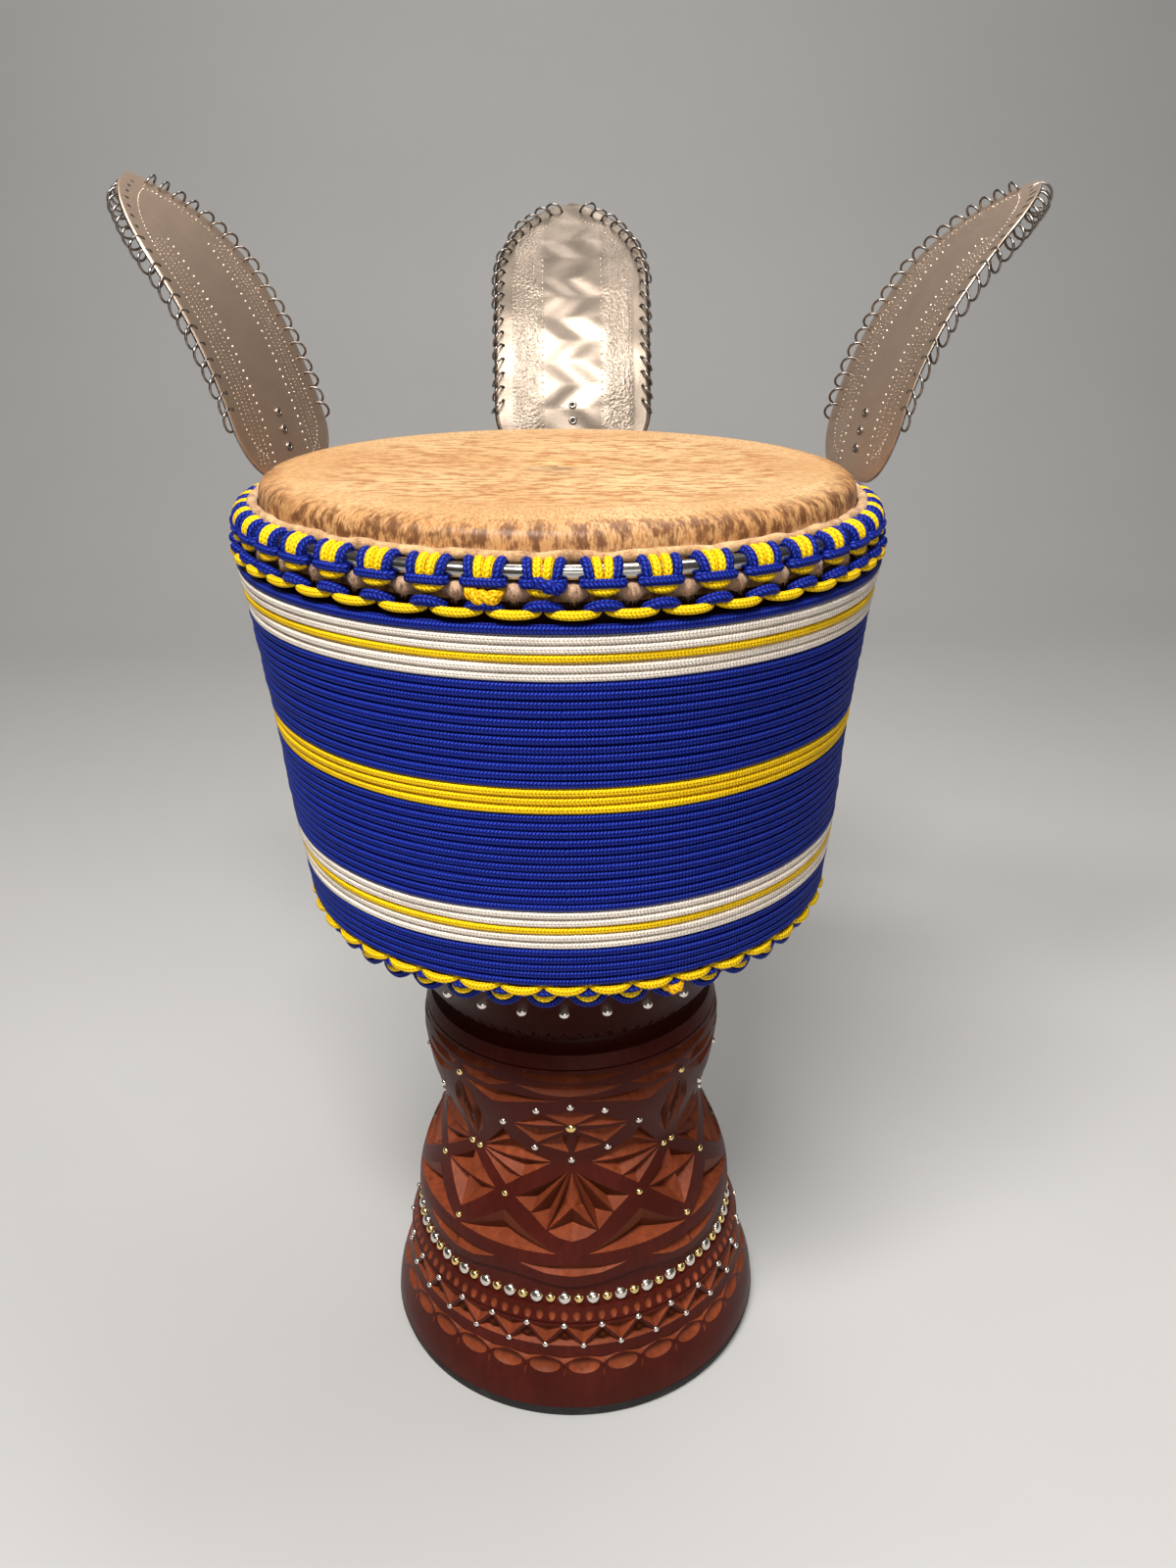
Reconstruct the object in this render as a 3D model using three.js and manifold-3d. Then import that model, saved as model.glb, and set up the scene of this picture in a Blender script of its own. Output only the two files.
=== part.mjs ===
// Goblet hand drum: carved wooden shell, hide head, steel crown ring, braided cord
// lacing and three rattle plates. Millimetres, +Z up, the drum seen from -Y.
import * as THREE from 'three';
import { mergeVertices } from 'three/addons/utils/BufferGeometryUtils.js';
import { ConvexGeometry } from 'three/addons/geometries/ConvexGeometry.js';
import Module from 'manifold-3d';

const wasm = await Module();
wasm.setup();

// Driving sizes
const HEAD_HEIGHT = 600;
const SEGMENTS = 30;
const GAP = 0.4;
const LACING_UNITS = 44;
const UNIT_PHASE = -2.8;
const CORD_PITCH = 4.775;
const WRAP_TOP = 554.4;
const PANELS = 4;
const NAIL_COUNT = 30;
const NAIL_PHASE = 2;

// The drum's axis stands off the origin so that the whole object is centred over it
const AXIS_X = -12.5;
const AXIS_Y = -62.5;

// Height and radius of the wood's outside, foot to rim
const FOOT_HEIGHT = 9;
const SHELL_OUTSIDE = [
  [FOOT_HEIGHT + GAP, 131.5], [22, 130], [46, 121.5], [68, 118.8], [84, 112], [112, 111.5],
  [177, 88.3], [240, 99.8], [262, 93.5], [267, 87], [274, 94], [322, 133], [346, 154.5],
  [460, 166.5], [582, 170.8], [590.5, 165],
];

// Height and radius of the wood's inside, rim to foot
const SHELL_INSIDE = [
  [591, 161], [460, 151], [380, 128], [270, 67], [140, 67], [FOOT_HEIGHT + GAP, 107],
];

// Height and radius of the cord winding's outside
const WRAP_OUTSIDE = [
  [340, 158], [353, 163], [379, 165.9], [403, 169], [460, 173.2], [533, 181.6], [560, 186.2],
];

// Colours seen in the photograph
const paint = (color, roughness, metalness = 0) => ({ color, roughness, metalness });
const WOOD = paint(0x5a2418, 0.35);
const RUBBER = paint(0x1b1a1a, 0.8);
const HIDE = paint(0xd8a56a, 0.6);
const FUR = paint(0xb98d63, 0.9);
const STEEL = paint(0xb9bcc0, 0.25, 1);
const TIN = paint(0x9a9187, 0.4, 1);
const BLUE = paint(0x1c2a8c, 0.7);
const YELLOW = paint(0xf0c414, 0.7);
const WHITE = paint(0xe6ded2, 0.7);

const drum = new THREE.Group();
drum.position.set(AXIS_X, AXIS_Y, 0);

function add(parent, name, geometry, material) {
  const mesh = new THREE.Mesh(geometry, new THREE.MeshStandardMaterial(material));
  mesh.name = name;
  parent.add(mesh);
  return mesh;
}

// Round pieces share their flat sides, with an edge at each upper nail of the foot's zigzag
const SIDE_START = THREE.MathUtils.degToRad(NAIL_PHASE + 180 / NAIL_COUNT);

// Straight-line reading of a height and radius table
function radiusAt(table, z) {
  for (let i = 1; i < table.length; i++) {
    const [z0, r0] = table[i - 1];
    const [z1, r1] = table[i];
    if (z <= z1) return r0 + ((r1 - r0) * (z - z0)) / (z1 - z0);
  }
  return table[table.length - 1][1];
}

// Shared corners only, so that the surface is closed
function closed(geometry) {
  geometry.deleteAttribute('normal');
  geometry.deleteAttribute('uv');
  return mergeVertices(geometry, 1e-3);
}

// Ring turned about the drum's axis from [radius, height] corners, outside upwards
function turned(corners, segments = SEGMENTS, start = SIDE_START) {
  const points = corners.map(([r, z]) => new THREE.Vector2(r, z));
  const lathe = new THREE.LatheGeometry(points, segments, start, 2 * Math.PI);
  return closed(lathe.rotateX(Math.PI / 2));
}

function ring(corners, segments, start) {
  return turned([...corners, corners[0]], segments, start);
}

// Ring with a round section of few sides
function roundRing(radius, z, half, sides) {
  const corners = [];
  for (let i = 0; i < sides; i++) {
    const a = (2 * Math.PI * i) / sides;
    corners.push([radius + half * Math.cos(a), z + half * Math.sin(a)]);
  }
  return ring(corners);
}

function asManifold(geometry) {
  const merged = closed(geometry);
  const mesh = new wasm.Mesh({
    numProp: 3,
    vertProperties: new Float32Array(merged.attributes.position.array),
    triVerts: new Uint32Array(merged.index.array),
  });
  return new wasm.Manifold(mesh);
}

function asGeometry(solid) {
  const mesh = solid.getMesh();
  const geometry = new THREE.BufferGeometry();
  geometry.setAttribute('position', new THREE.BufferAttribute(mesh.vertProperties, 3));
  geometry.setIndex(new THREE.BufferAttribute(mesh.triVerts, 1));
  return geometry;
}

// Point on the wood's flat-sided outside at an angle from the front, sunk by a depth
const SIDE_HALF = Math.PI / SEGMENTS;
function onShell([angle, z], depth = 0) {
  const a = THREE.MathUtils.degToRad(angle);
  const across = THREE.MathUtils.euclideanModulo(a - SIDE_START, 2 * SIDE_HALF) - SIDE_HALF;
  const r = (radiusAt(SHELL_OUTSIDE, z) * Math.cos(SIDE_HALF)) / Math.cos(across) - depth;
  return new THREE.Vector3(r * Math.sin(a), -r * Math.cos(a), z);
}

const mix = (a, b, t) => [a[0] + (b[0] - a[0]) * t, a[1] + (b[1] - a[1]) * t];

// Knife cut with flat sides that run from its outline down to one deepest point. The outline
// is drawn in a little, so that a narrow ridge stays between neighbours.
const CUT_REACH = 1.5;
const CUT_SHARE = 0.92;
function chip(outline, deepest, depth) {
  const tip = onShell(deepest, depth);
  const corners = outline.map((p) => {
    const edge = onShell(mix(deepest, p, CUT_SHARE));
    return edge.sub(tip).multiplyScalar(CUT_REACH).add(tip);
  });
  return asManifold(new ConvexGeometry([tip, ...corners]));
}

// Long cut from a point to two outer corners, deepest near its outer end
const RAY_DEPTH = 5;
const ray = (from, a, b, depth = RAY_DEPTH) =>
  chip([from, a, b], mix(from, mix(a, b, 0.5), 0.72), depth);

// Fan of long cuts from one point to a chain of outer corners
const fan = (from, ends, depth) =>
  ends.slice(1).map((end, i) => ray(from, ends[i], end, depth));

// Half of one carved panel, as cuts right of its middle line, in degrees and millimetres
const SHIELD_TOP = [0, 171];
const SHIELD_ENDS = [[0, 130], [12, 136.5], [23.5, 148]];
const FLANK_TIP = [41.5, 169.5];
const FLANK_ENDS = [[9.5, 175.5], [17, 164.5], [27, 154.5]];
const LOZENGE = { middle: [45, 150], up: [45, 167], side: [31, 150.5], down: [45, 126.5] };
const LOW_TIP = [42.5, 119.5];
const LOW_ENDS = [[25.5, 140.5], [22, 130], [5.5, 117.5]];
const MEDAL_MIDDLE = [0, 208];
const MEDAL_ENDS = [[0, 222], [22.5, 207.5], [0, 184.5]];
const RIB = { top: [45, 229], bulge: [37.5, 205], bottom: [44.3, 178] };

function halfPanel(mirror) {
  const m = (points) => points.map(([a, z]) => [a * mirror, z]);
  const [low, side, up, middle] = m([LOZENGE.down, LOZENGE.side, LOZENGE.up, LOZENGE.middle]);
  return [
    ...fan(SHIELD_TOP, m(SHIELD_ENDS)),
    ...fan(m([FLANK_TIP])[0], m(FLANK_ENDS), 4),
    ...fan(m([LOW_TIP])[0], m(LOW_ENDS)),
    ...fan(MEDAL_MIDDLE, m(MEDAL_ENDS), 4),
    ray(middle, up, side, 4),
    ray(middle, side, low, 4.5),
    chip(m(Object.values(RIB)), m([[42, 203]])[0], 4),
  ];
}

// Shallow crescents under the panels
const CRESCENT_DEPTH = 3;
const crescent = (angle) =>
  chip([[angle - 16, 109], [angle, 110], [angle + 16, 109], [angle, 101]],
    [angle, 105.5], CRESCENT_DEPTH);

// Row of triangles that leaves a zigzag ridge, and the row of leaves below it
const NAIL_PITCH = 360 / NAIL_COUNT;
const ZIGZAG = { low: 51, high: 67.5, depth: 4 };
const LEAF = { z: 38.5, wide: 5.1, tall: 5, depth: 2.2 };
function footRow(i) {
  const low = NAIL_PHASE + i * NAIL_PITCH;
  const edge = NAIL_PITCH * 0.48;
  const tooth = [[low - edge, ZIGZAG.high], [low + edge, ZIGZAG.high], [low, ZIGZAG.low]];
  const leaf = [];
  for (let k = 0; k < 4; k++) {
    const a = (Math.PI * k) / 2;
    leaf.push([low + LEAF.wide * Math.cos(a), LEAF.z + LEAF.tall * Math.sin(a)]);
  }
  return [
    chip(tooth, [low, ZIGZAG.high - 5], ZIGZAG.depth),
    chip(leaf, [low, LEAF.z], LEAF.depth),
  ];
}

// Wooden shell: hollow goblet, open at both ends, with its carving cut in. Loose slivers
// between neighbouring cuts fall away, and the one large body stays, with the triangles that
// lie in one plane joined.
const FLATNESS = 0.02;
function turnSolid(angle, solids) {
  return solids.map((s) => s.rotate([0, 0, angle]));
}
const cuts = [];
for (let p = 0; p < PANELS; p++) {
  const turn = (360 / PANELS) * p;
  cuts.push(...turnSolid(turn, [...halfPanel(1), ...halfPanel(-1)]));
  cuts.push(...turnSolid(turn, [crescent(0), crescent(180 / PANELS)]));
}
for (let i = 0; i < NAIL_COUNT; i++) cuts.push(...footRow(i));
const flip = ([z, r]) => [r, z];
const blank = asManifold(ring([...SHELL_OUTSIDE.map(flip), ...SHELL_INSIDE.map(flip)]));
const bodies = blank.subtract(wasm.Manifold.union(cuts)).decompose();
const [carved] = bodies.sort((a, b) => b.volume() - a.volume());
add(drum, 'wooden_shell', asGeometry(carved.asOriginal().simplify(FLATNESS)), WOOD);

// Rubber edge that the drum stands on
add(drum, 'rubber_foot_ring',
  ring([[107, 0], [129.4, 0], [132, FOOT_HEIGHT], [107, FOOT_HEIGHT]]), RUBBER);

// Hide head: flat top, soft shoulder and rolled lip above the crown ring
const HIDE_THICK = 1.8;
const SHOULDER = [[146, 0], [166, -3.4], [169.4, -7.6]];
const LIP = [[171.2, -15.4], [173.4, -15.4], [175.4, -11], [173, -6.2]];
const over = [...SHOULDER].reverse().map(([r, d]) => [r, HEAD_HEIGHT + d]);
const lip = LIP.map(([r, d]) => [r, HEAD_HEIGHT + d]);
add(drum, 'goat_skin', turned([
  [0, HEAD_HEIGHT - HIDE_THICK], [146, HEAD_HEIGHT - HIDE_THICK], [166.4, 591.6], ...lip, ...over,
  [0, HEAD_HEIGHT],
]), HIDE);

// Hem of the hide, held between the wood and the flesh ring
const HEM = { inside: 171.2, outside: 172.7, low: 567, high: lip[0][1] - GAP };
add(drum, 'skin_hem', ring([[HEM.inside, HEM.low], [HEM.outside, HEM.low],
  [HEM.outside, HEM.high], [HEM.inside, HEM.high]]), HIDE);

// Steel crown ring and the hide-wrapped flesh ring under it
const CROWN = { radius: 178, z: 582.6, half: 3.9 };
const FLESH = { radius: 177.6, z: 573.4, half: 4.5 };
add(drum, 'crown_ring', roundRing(CROWN.radius, CROWN.z, CROWN.half, 6), STEEL);
add(drum, 'flesh_ring', roundRing(FLESH.radius, FLESH.z, FLESH.half, 4), FUR);

// Crown loops: one arch of cord for each lacing unit, outside the crown ring
const LOOP = { inside: 182.4, middle: 184.4, outside: 186.4, bottom: 567.2, top: 589.4, valley: 570 };
const unitStart = THREE.MathUtils.degToRad(UNIT_PHASE);
const loops = ring([[LOOP.inside, LOOP.bottom], [LOOP.outside, LOOP.bottom],
  [LOOP.middle, LOOP.top]], 2 * LACING_UNITS, unitStart);
const spots = loops.attributes.position;
for (let i = 0; i < spots.count; i++) {
  if (spots.getZ(i) < LOOP.top - 1) continue;
  const angle = Math.atan2(spots.getX(i), -spots.getY(i)) - unitStart;
  const step = Math.round((angle * LACING_UNITS) / Math.PI);
  if (step % 2 !== 0) spots.setZ(i, LOOP.valley);
}
add(drum, 'crown_loops', loops, BLUE);

// Winding between two heights, from the wood out to the winding's outside
function winding(low, high) {
  const inside = (z) => radiusAt(SHELL_OUTSIDE, z) + GAP;
  const outside = (z) => radiusAt(WRAP_OUTSIDE, z);
  return ring([[inside(low), low], [outside(low), low], [outside(high), high],
    [inside(high), high]]);
}

// Yellow dash cord and blue ring cord under the loops
const DASH = { inside: 181.8, outside: 187, low: 561.2, high: 566.6 };
add(drum, 'dash_cord_upper', ring([[DASH.inside, DASH.low], [DASH.outside, DASH.low],
  [DASH.outside, DASH.high], [DASH.inside, DASH.high]]), YELLOW);
add(drum, 'ring_cord_upper', winding(WRAP_TOP + GAP, WRAP_TOP + CORD_PITCH + GAP), BLUE);

// Wound cord bands, top to bottom: colour and number of turns
const BANDS = [
  ['white', 2], ['yellow', 1], ['white', 2], ['blue', 12], ['yellow', 3], ['blue', 12],
  ['white', 2], ['yellow', 1], ['white', 2], ['blue', 5],
];
const CORD_PAINT = { white: WHITE, yellow: YELLOW, blue: BLUE };
let bandTop = WRAP_TOP;
BANDS.forEach(([colour, turns], i) => {
  const bandLow = bandTop - turns * CORD_PITCH;
  add(drum, `wrap_${i + 1}_${colour}`, winding(bandLow + GAP, bandTop), CORD_PAINT[colour]);
  bandTop = bandLow;
});

// Lacing at the bowl's underside: yellow dash cord, then a blue ring cord below it
add(drum, 'dash_cord_lower', winding(bandTop - CORD_PITCH, bandTop - GAP / 2), YELLOW);
const UNDER = { z: 339, half: 3, clear: 5 };
const underRadius = radiusAt(SHELL_OUTSIDE, UNDER.z) + UNDER.clear;
add(drum, 'ring_cord_lower', roundRing(underRadius, UNDER.z, UNDER.half, 4), BLUE);

// Rattle plates: bent leaves with a round foot and a pointed arch, tongue and rivets
const PLATE = { wide: 113, long: 215, arch: 78, foot: 38, thick: 1.2, base: 197 };
const TONGUE = { wide: 10, thick: 1.6, rows: [-15, -2, 30, 62], tuck: 7 };
const RIVET = { radius: 2.6, tall: 1.5, at: [20, 31, 42] };
const PLATES = [
  { side: 'left', azimuth: 150.9, yaw: 10, roll: 3.8, z: 581.4, lean: [11.1, 49.1] },
  { side: 'right', azimuth: 21.1, yaw: -11, roll: -4.7, z: 579, lean: [6.9, 59.6] },
  { side: 'back', azimuth: 87.5, yaw: 1.5, roll: 0, z: 572, lean: [16, 52] },
];

// Half the leaf's width at a length along it
function leafHalf(s) {
  const half = PLATE.wide / 2;
  const archRadius = (PLATE.arch ** 2 + half ** 2) / PLATE.wide;
  const up = s - (PLATE.long - PLATE.arch);
  if (up > 0) return Math.max(1, Math.sqrt(archRadius ** 2 - up ** 2) - archRadius + half);
  const down = Math.max(0, PLATE.foot - s);
  return half - PLATE.foot + Math.sqrt(PLATE.foot ** 2 - down ** 2);
}

// Bend a strip that lies along Z so that it follows the leaf's arc
function bent(strip, lean) {
  const [start, end] = lean.map(THREE.MathUtils.degToRad);
  const arc = PLATE.long / (end - start);
  const at = strip.attributes.position;
  for (let i = 0; i < at.count; i++) {
    const angle = start + at.getZ(i) / arc;
    const out = arc * (Math.cos(start) - Math.cos(angle)) + at.getY(i) * Math.cos(angle);
    const up = arc * (Math.sin(angle) - Math.sin(start)) - at.getY(i) * Math.sin(angle);
    at.setXYZ(i, at.getX(i), out, up);
  }
  return closed(strip);
}

const LEAF_ROWS = 11;
function leafStrip() {
  const strip = new THREE.BoxGeometry(2, PLATE.thick, PLATE.long, 1, 1, LEAF_ROWS);
  strip.translate(0, 0, PLATE.long / 2);
  const at = strip.attributes.position;
  for (let i = 0; i < at.count; i++) at.setX(i, at.getX(i) * leafHalf(at.getZ(i)));
  return strip;
}

// Tongue on the leaf's outer face, with its lower end tucked in towards the lacing
function tongueStrip() {
  const { wide, thick, rows, tuck } = TONGUE;
  const strip = new THREE.BoxGeometry(wide, thick, rows.length - 1, 1, 1, rows.length - 1);
  strip.translate(0, (PLATE.thick + thick) / 2 + GAP, (rows.length - 1) / 2);
  const at = strip.attributes.position;
  for (let i = 0; i < at.count; i++) {
    const row = Math.round(at.getZ(i));
    at.setZ(i, rows[row]);
    if (row === 0) at.setY(i, at.getY(i) - tuck);
  }
  return strip;
}

for (const { side, azimuth, yaw, roll, z, lean } of PLATES) {
  const holder = new THREE.Group();
  const [out, turn, tip] = [azimuth, azimuth + yaw - 90, roll].map(THREE.MathUtils.degToRad);
  holder.rotation.set(0, tip, turn, 'ZYX');
  holder.position.set(PLATE.base * Math.cos(out), PLATE.base * Math.sin(out), z);
  drum.add(holder);
  add(holder, `rattle_plate_${side}`, bent(leafStrip(), lean), TIN);
  add(holder, `plate_tongue_${side}`, bent(tongueStrip(), lean), STEEL);
  RIVET.at.forEach((s, i) => {
    const rivet = new THREE.CylinderGeometry(RIVET.radius, RIVET.radius * 0.6, RIVET.tall, 6);
    rivet.translate(0, -(PLATE.thick + RIVET.tall) / 2 - GAP, s);
    add(holder, `rivet_${side}_${i + 1}`, bent(rivet, lean), STEEL);
  });
}

const group = new THREE.Group();
group.add(drum);
export default group;
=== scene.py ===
"""Looks of a goblet hand drum: carved and studded wood, hide head, braided cord lacing, rattle plates."""
import math
import random

import bpy
import numpy as np
from mathutils import Matrix, Vector
from mathutils.geometry import delaunay_2d_cdt


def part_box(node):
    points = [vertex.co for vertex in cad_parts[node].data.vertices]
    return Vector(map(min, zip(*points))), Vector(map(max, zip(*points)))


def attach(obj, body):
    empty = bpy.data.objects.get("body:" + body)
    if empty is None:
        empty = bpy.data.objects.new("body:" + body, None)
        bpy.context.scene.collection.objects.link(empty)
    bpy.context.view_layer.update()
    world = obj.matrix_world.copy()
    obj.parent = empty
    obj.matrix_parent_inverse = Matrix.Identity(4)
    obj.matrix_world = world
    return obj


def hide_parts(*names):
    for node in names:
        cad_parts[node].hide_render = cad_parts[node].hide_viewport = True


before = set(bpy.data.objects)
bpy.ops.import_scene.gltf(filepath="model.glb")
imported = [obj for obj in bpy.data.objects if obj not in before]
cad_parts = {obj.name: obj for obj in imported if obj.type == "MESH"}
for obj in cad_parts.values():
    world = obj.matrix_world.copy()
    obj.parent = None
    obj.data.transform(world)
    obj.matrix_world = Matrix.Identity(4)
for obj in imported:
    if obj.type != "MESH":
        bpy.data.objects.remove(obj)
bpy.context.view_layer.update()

# Sizes are in millimetres about the drum's own axis, and angles in degrees from the front
MM = 0.001
foot_low, foot_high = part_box("rubber_foot_ring")
AXIS = np.array([(foot_low.x + foot_high.x) / 2, (foot_low.y + foot_high.y) / 2, 0.0])
HEAD_RADIUS = 169
LACING_UNITS = 44
UNIT_PITCH = 360 / LACING_UNITS
UNIT_PHASE = -2.4
LOW_PHASE = -0.9
UNIT_SWAY = 3.3
CORD_PITCH = 4.775
WRAP_TOP = 554.4
RING_STEPS = 360
random.seed(7)


def placed(name, data):
    made = bpy.data.objects.new(name, data)
    bpy.context.scene.collection.objects.link(made)
    return made


# Camera at the photograph's place: 1200 x 1600 pixels, focal length of 1300 pixels
FOCAL_PIXELS = 1300
LONG_SIDE_PIXELS = 1600
CAMERA_BACK = 747.7
CAMERA_HEIGHT = 719.3
CAMERA_PITCH = 22.97
CAMERA_YAW = 1.01
CAMERA_ROLL = -0.62


def make_camera():
    data = bpy.data.cameras.new("camera")
    data.sensor_width = 36
    data.lens = data.sensor_width * FOCAL_PIXELS / LONG_SIDE_PIXELS
    data.clip_end = 50
    camera = placed("camera", data)
    place = Matrix.Translation((AXIS[0], AXIS[1] - CAMERA_BACK * MM, CAMERA_HEIGHT * MM))
    for angle, axis in ((-CAMERA_YAW, "Z"), (90 - CAMERA_PITCH, "X"), (CAMERA_ROLL, "Z")):
        place = place @ Matrix.Rotation(math.radians(angle), 4, axis)
    camera.matrix_world = place
    bpy.context.scene.camera = camera


make_camera()


# Curves and surfaces
def polar(angle, radius, height):
    """Points at angles from the front, positive to the right."""
    a = np.radians(np.asarray(angle, float))
    return np.stack(np.broadcast_arrays(radius * np.sin(a), -radius * np.cos(a), height), -1)


def hermite(table):
    """Smooth reading of a height and radius table."""
    z, r = np.array(table, float).T
    slope = np.gradient(r, z)

    def read(q):
        i = np.clip(np.searchsorted(z, q, side="right") - 1, 0, len(z) - 2)
        h = z[i + 1] - z[i]
        t = np.clip((q - z[i]) / h, 0, 1)
        start = r[i] * (1 + 2 * t) * (1 - t) ** 2 + slope[i] * h * t * (1 - t) ** 2
        end = r[i + 1] * t * t * (3 - 2 * t) - slope[i + 1] * h * t * t * (1 - t)
        return start + end

    return read


def through(points, count):
    """Evenly counted points on a smooth curve through given ones."""
    p = np.array(points, float)
    p = np.concatenate([2 * p[:1] - p[1:2], p, 2 * p[-1:] - p[-2:-1]])
    at = np.linspace(0, len(p) - 3, count)
    i = np.minimum(at.astype(int), len(p) - 4)
    t = (at - i)[:, None]
    a, b, c, d = p[i], p[i + 1], p[i + 2], p[i + 3]
    return 0.5 * (2 * b + (c - a) * t + (2 * a - 5 * b + 4 * c - d) * t ** 2
                  + (3 * b - a - 3 * c + d) * t ** 3)


def unit(v):
    return v / np.maximum(np.linalg.norm(v, axis=-1, keepdims=True), 1e-9)


def circle(sides, a, b):
    """Points round the circle of two directions."""
    turn = (np.arange(sides) * 2 * math.pi / sides)[:, None]
    return np.cos(turn) * a + np.sin(turn) * b


def run_along(points):
    """Length from the first point to each."""
    return np.concatenate([[0], np.cumsum(np.linalg.norm(np.diff(points, axis=0), axis=1))])


def sheet_faces(rows, columns, wrap_columns=False, wrap_rows=False):
    """Quads of a grid, counter-clockwise for columns to the right and rows upwards."""
    i = np.arange(rows if wrap_rows else rows - 1)
    j = np.arange(columns if wrap_columns else columns - 1)
    i, j = (a.ravel() for a in np.meshgrid(i, j, indexing="ij"))
    up, right = (i + 1) % rows, (j + 1) % columns
    return np.stack([i * columns + j, i * columns + right, up * columns + right, up * columns + j], -1)


def grid_uvs(faces, columns, across, along):
    """Corner coordinates of a grid's quads."""
    i, j = faces[:, 0] // columns, faces[:, 0] % columns
    corners = ((i, j), (i, j + 1), (i + 1, j + 1), (i + 1, j))
    return np.stack([np.stack([across[c], along[r]], -1) for r, c in corners], 1)


# The bowl sits a little askew on its foot, as carved and laced by hand
ASKEW = {"from": 330, "to": 470, "shift": -1.7, "tilt": 0.012}


def askew(verts):
    """Upper part of the drum, moved and tipped slightly to one side."""
    share = np.clip((verts[:, 2] - ASKEW["from"]) / (ASKEW["to"] - ASKEW["from"]), 0, 1)
    share = share * share * (3 - 2 * share)
    return verts + np.stack([ASKEW["shift"] * share, 0 * share, -ASKEW["tilt"] * share * verts[:, 0]], -1)


class Maker:
    """Gathers vertices, faces, surface coordinates and materials of one piece."""

    def __init__(self):
        self.verts, self.faces, self.uvs, self.finish = [], [], [], []
        self.sharp = set()
        self.count = 0

    def add(self, verts, faces, uvs=None, finish=0):
        self.faces += [tuple(int(k) + self.count for k in f) for f in faces]
        self.uvs += [[(0.0, 0.0)] * len(f) for f in faces] if uvs is None else list(uvs)
        self.finish += [finish] * len(faces)
        self.verts.append(np.asarray(verts, float).reshape(-1, 3))
        self.count += len(self.verts[-1])

    def lathe(self, profile, steps=180):
        """Surface turned from [radius, height] points, outside upwards."""
        profile = np.array(profile, float)
        turn = np.arange(steps + 1) * 360 / steps
        faces = sheet_faces(len(profile), steps, wrap_columns=True)
        uvs = grid_uvs(faces, steps, turn, run_along(profile))
        self.add(polar(turn[None, :-1], profile[:, :1], profile[:, 1:]), faces, uvs)

    def tube(self, path, radius, sides=9, closed=False):
        """Round cord along a path, with its length and its turn as coordinates."""
        count = len(path)
        if closed:
            tangent = unit(np.roll(path, -1, 0) - np.roll(path, 1, 0))
            out = unit(path * (1, 1, 0))
            normal = unit(out - tangent * (out * tangent).sum(1, keepdims=True))
        else:
            tangent = unit(np.gradient(path, axis=0))
            normal = [unit(np.cross(tangent[0], (0.31, 0.23, 0.92)))]
            for t in tangent[1:]:
                normal.append(unit(normal[-1] - t * (normal[-1] @ t)))
            normal = np.array(normal)
        size = np.broadcast_to(radius, (count,))[:, None, None]
        ring = circle(sides, normal[:, None], np.cross(tangent, normal)[:, None])
        faces = sheet_faces(count, sides, wrap_columns=True, wrap_rows=closed)
        length = run_along(np.concatenate([path, path[:1]]))
        uvs = list(grid_uvs(faces, sides, np.arange(sides + 1) / sides, length)[..., ::-1])
        faces = faces.tolist()
        if not closed:
            last = (count - 1) * sides
            faces += [range(sides - 1, -1, -1), range(last, last + sides)]
            uvs += [[(0.0, 0.0)] * sides] * 2
        self.add(path[:, None] + size * ring, faces, uvs)

    def dome(self, centre, normal, radius, height, sides=14, rings=5, finish=0):
        """Domed nail head with its rim a little below the surface it is driven into."""
        n = unit(normal)
        a = unit(np.cross(n, (0.2, 0.3, 0.93)))
        ring = circle(sides, a, np.cross(n, a)) * radius
        lift = np.linspace(0, math.pi / 2, rings + 1)[:-1]
        verts = [centre - n * 0.6 * height + ring]
        verts += [centre + n * height * math.sin(t) + ring * math.cos(t) for t in lift]
        verts.append([centre + n * height])
        faces = sheet_faces(rings + 1, sides, wrap_columns=True).tolist()
        low, top = rings * sides, (rings + 1) * sides
        faces += [(low + k, low + (k + 1) % sides, top) for k in range(sides)]
        self.add(np.concatenate(verts), faces, finish=finish)

    def piece(self, name, finishes, slot, replaces=(), settled=True):
        """The gathered mesh as an object that stands in the drum's frame."""
        verts = np.concatenate(self.verts)
        verts = (askew(verts) if settled else verts) * MM + AXIS
        mesh = bpy.data.meshes.new(name)
        mesh.from_pydata(verts.tolist(), [], self.faces)
        flat = [c for face in self.uvs for pair in face for c in pair]
        mesh.uv_layers.new(name="cord").data.foreach_set("uv", np.array(flat, np.float32))
        mesh.polygons.foreach_set("use_smooth", [True] * len(mesh.polygons))
        mesh.polygons.foreach_set("material_index", self.finish)
        if self.sharp:
            sharp = [tuple(sorted(e.vertices)) in self.sharp for e in mesh.edges]
            mesh.edges.foreach_set("use_edge_sharp", sharp)
        for look in finishes:
            mesh.materials.append(look)
        mesh.update()
        made = placed(name, mesh)
        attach(made, "root")
        if replaces:
            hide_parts(*replaces)

    def corded(self, name, colour, *replaces):
        self.piece(name, [CORD[colour]], f"{colour}_cord", replaces)


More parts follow.
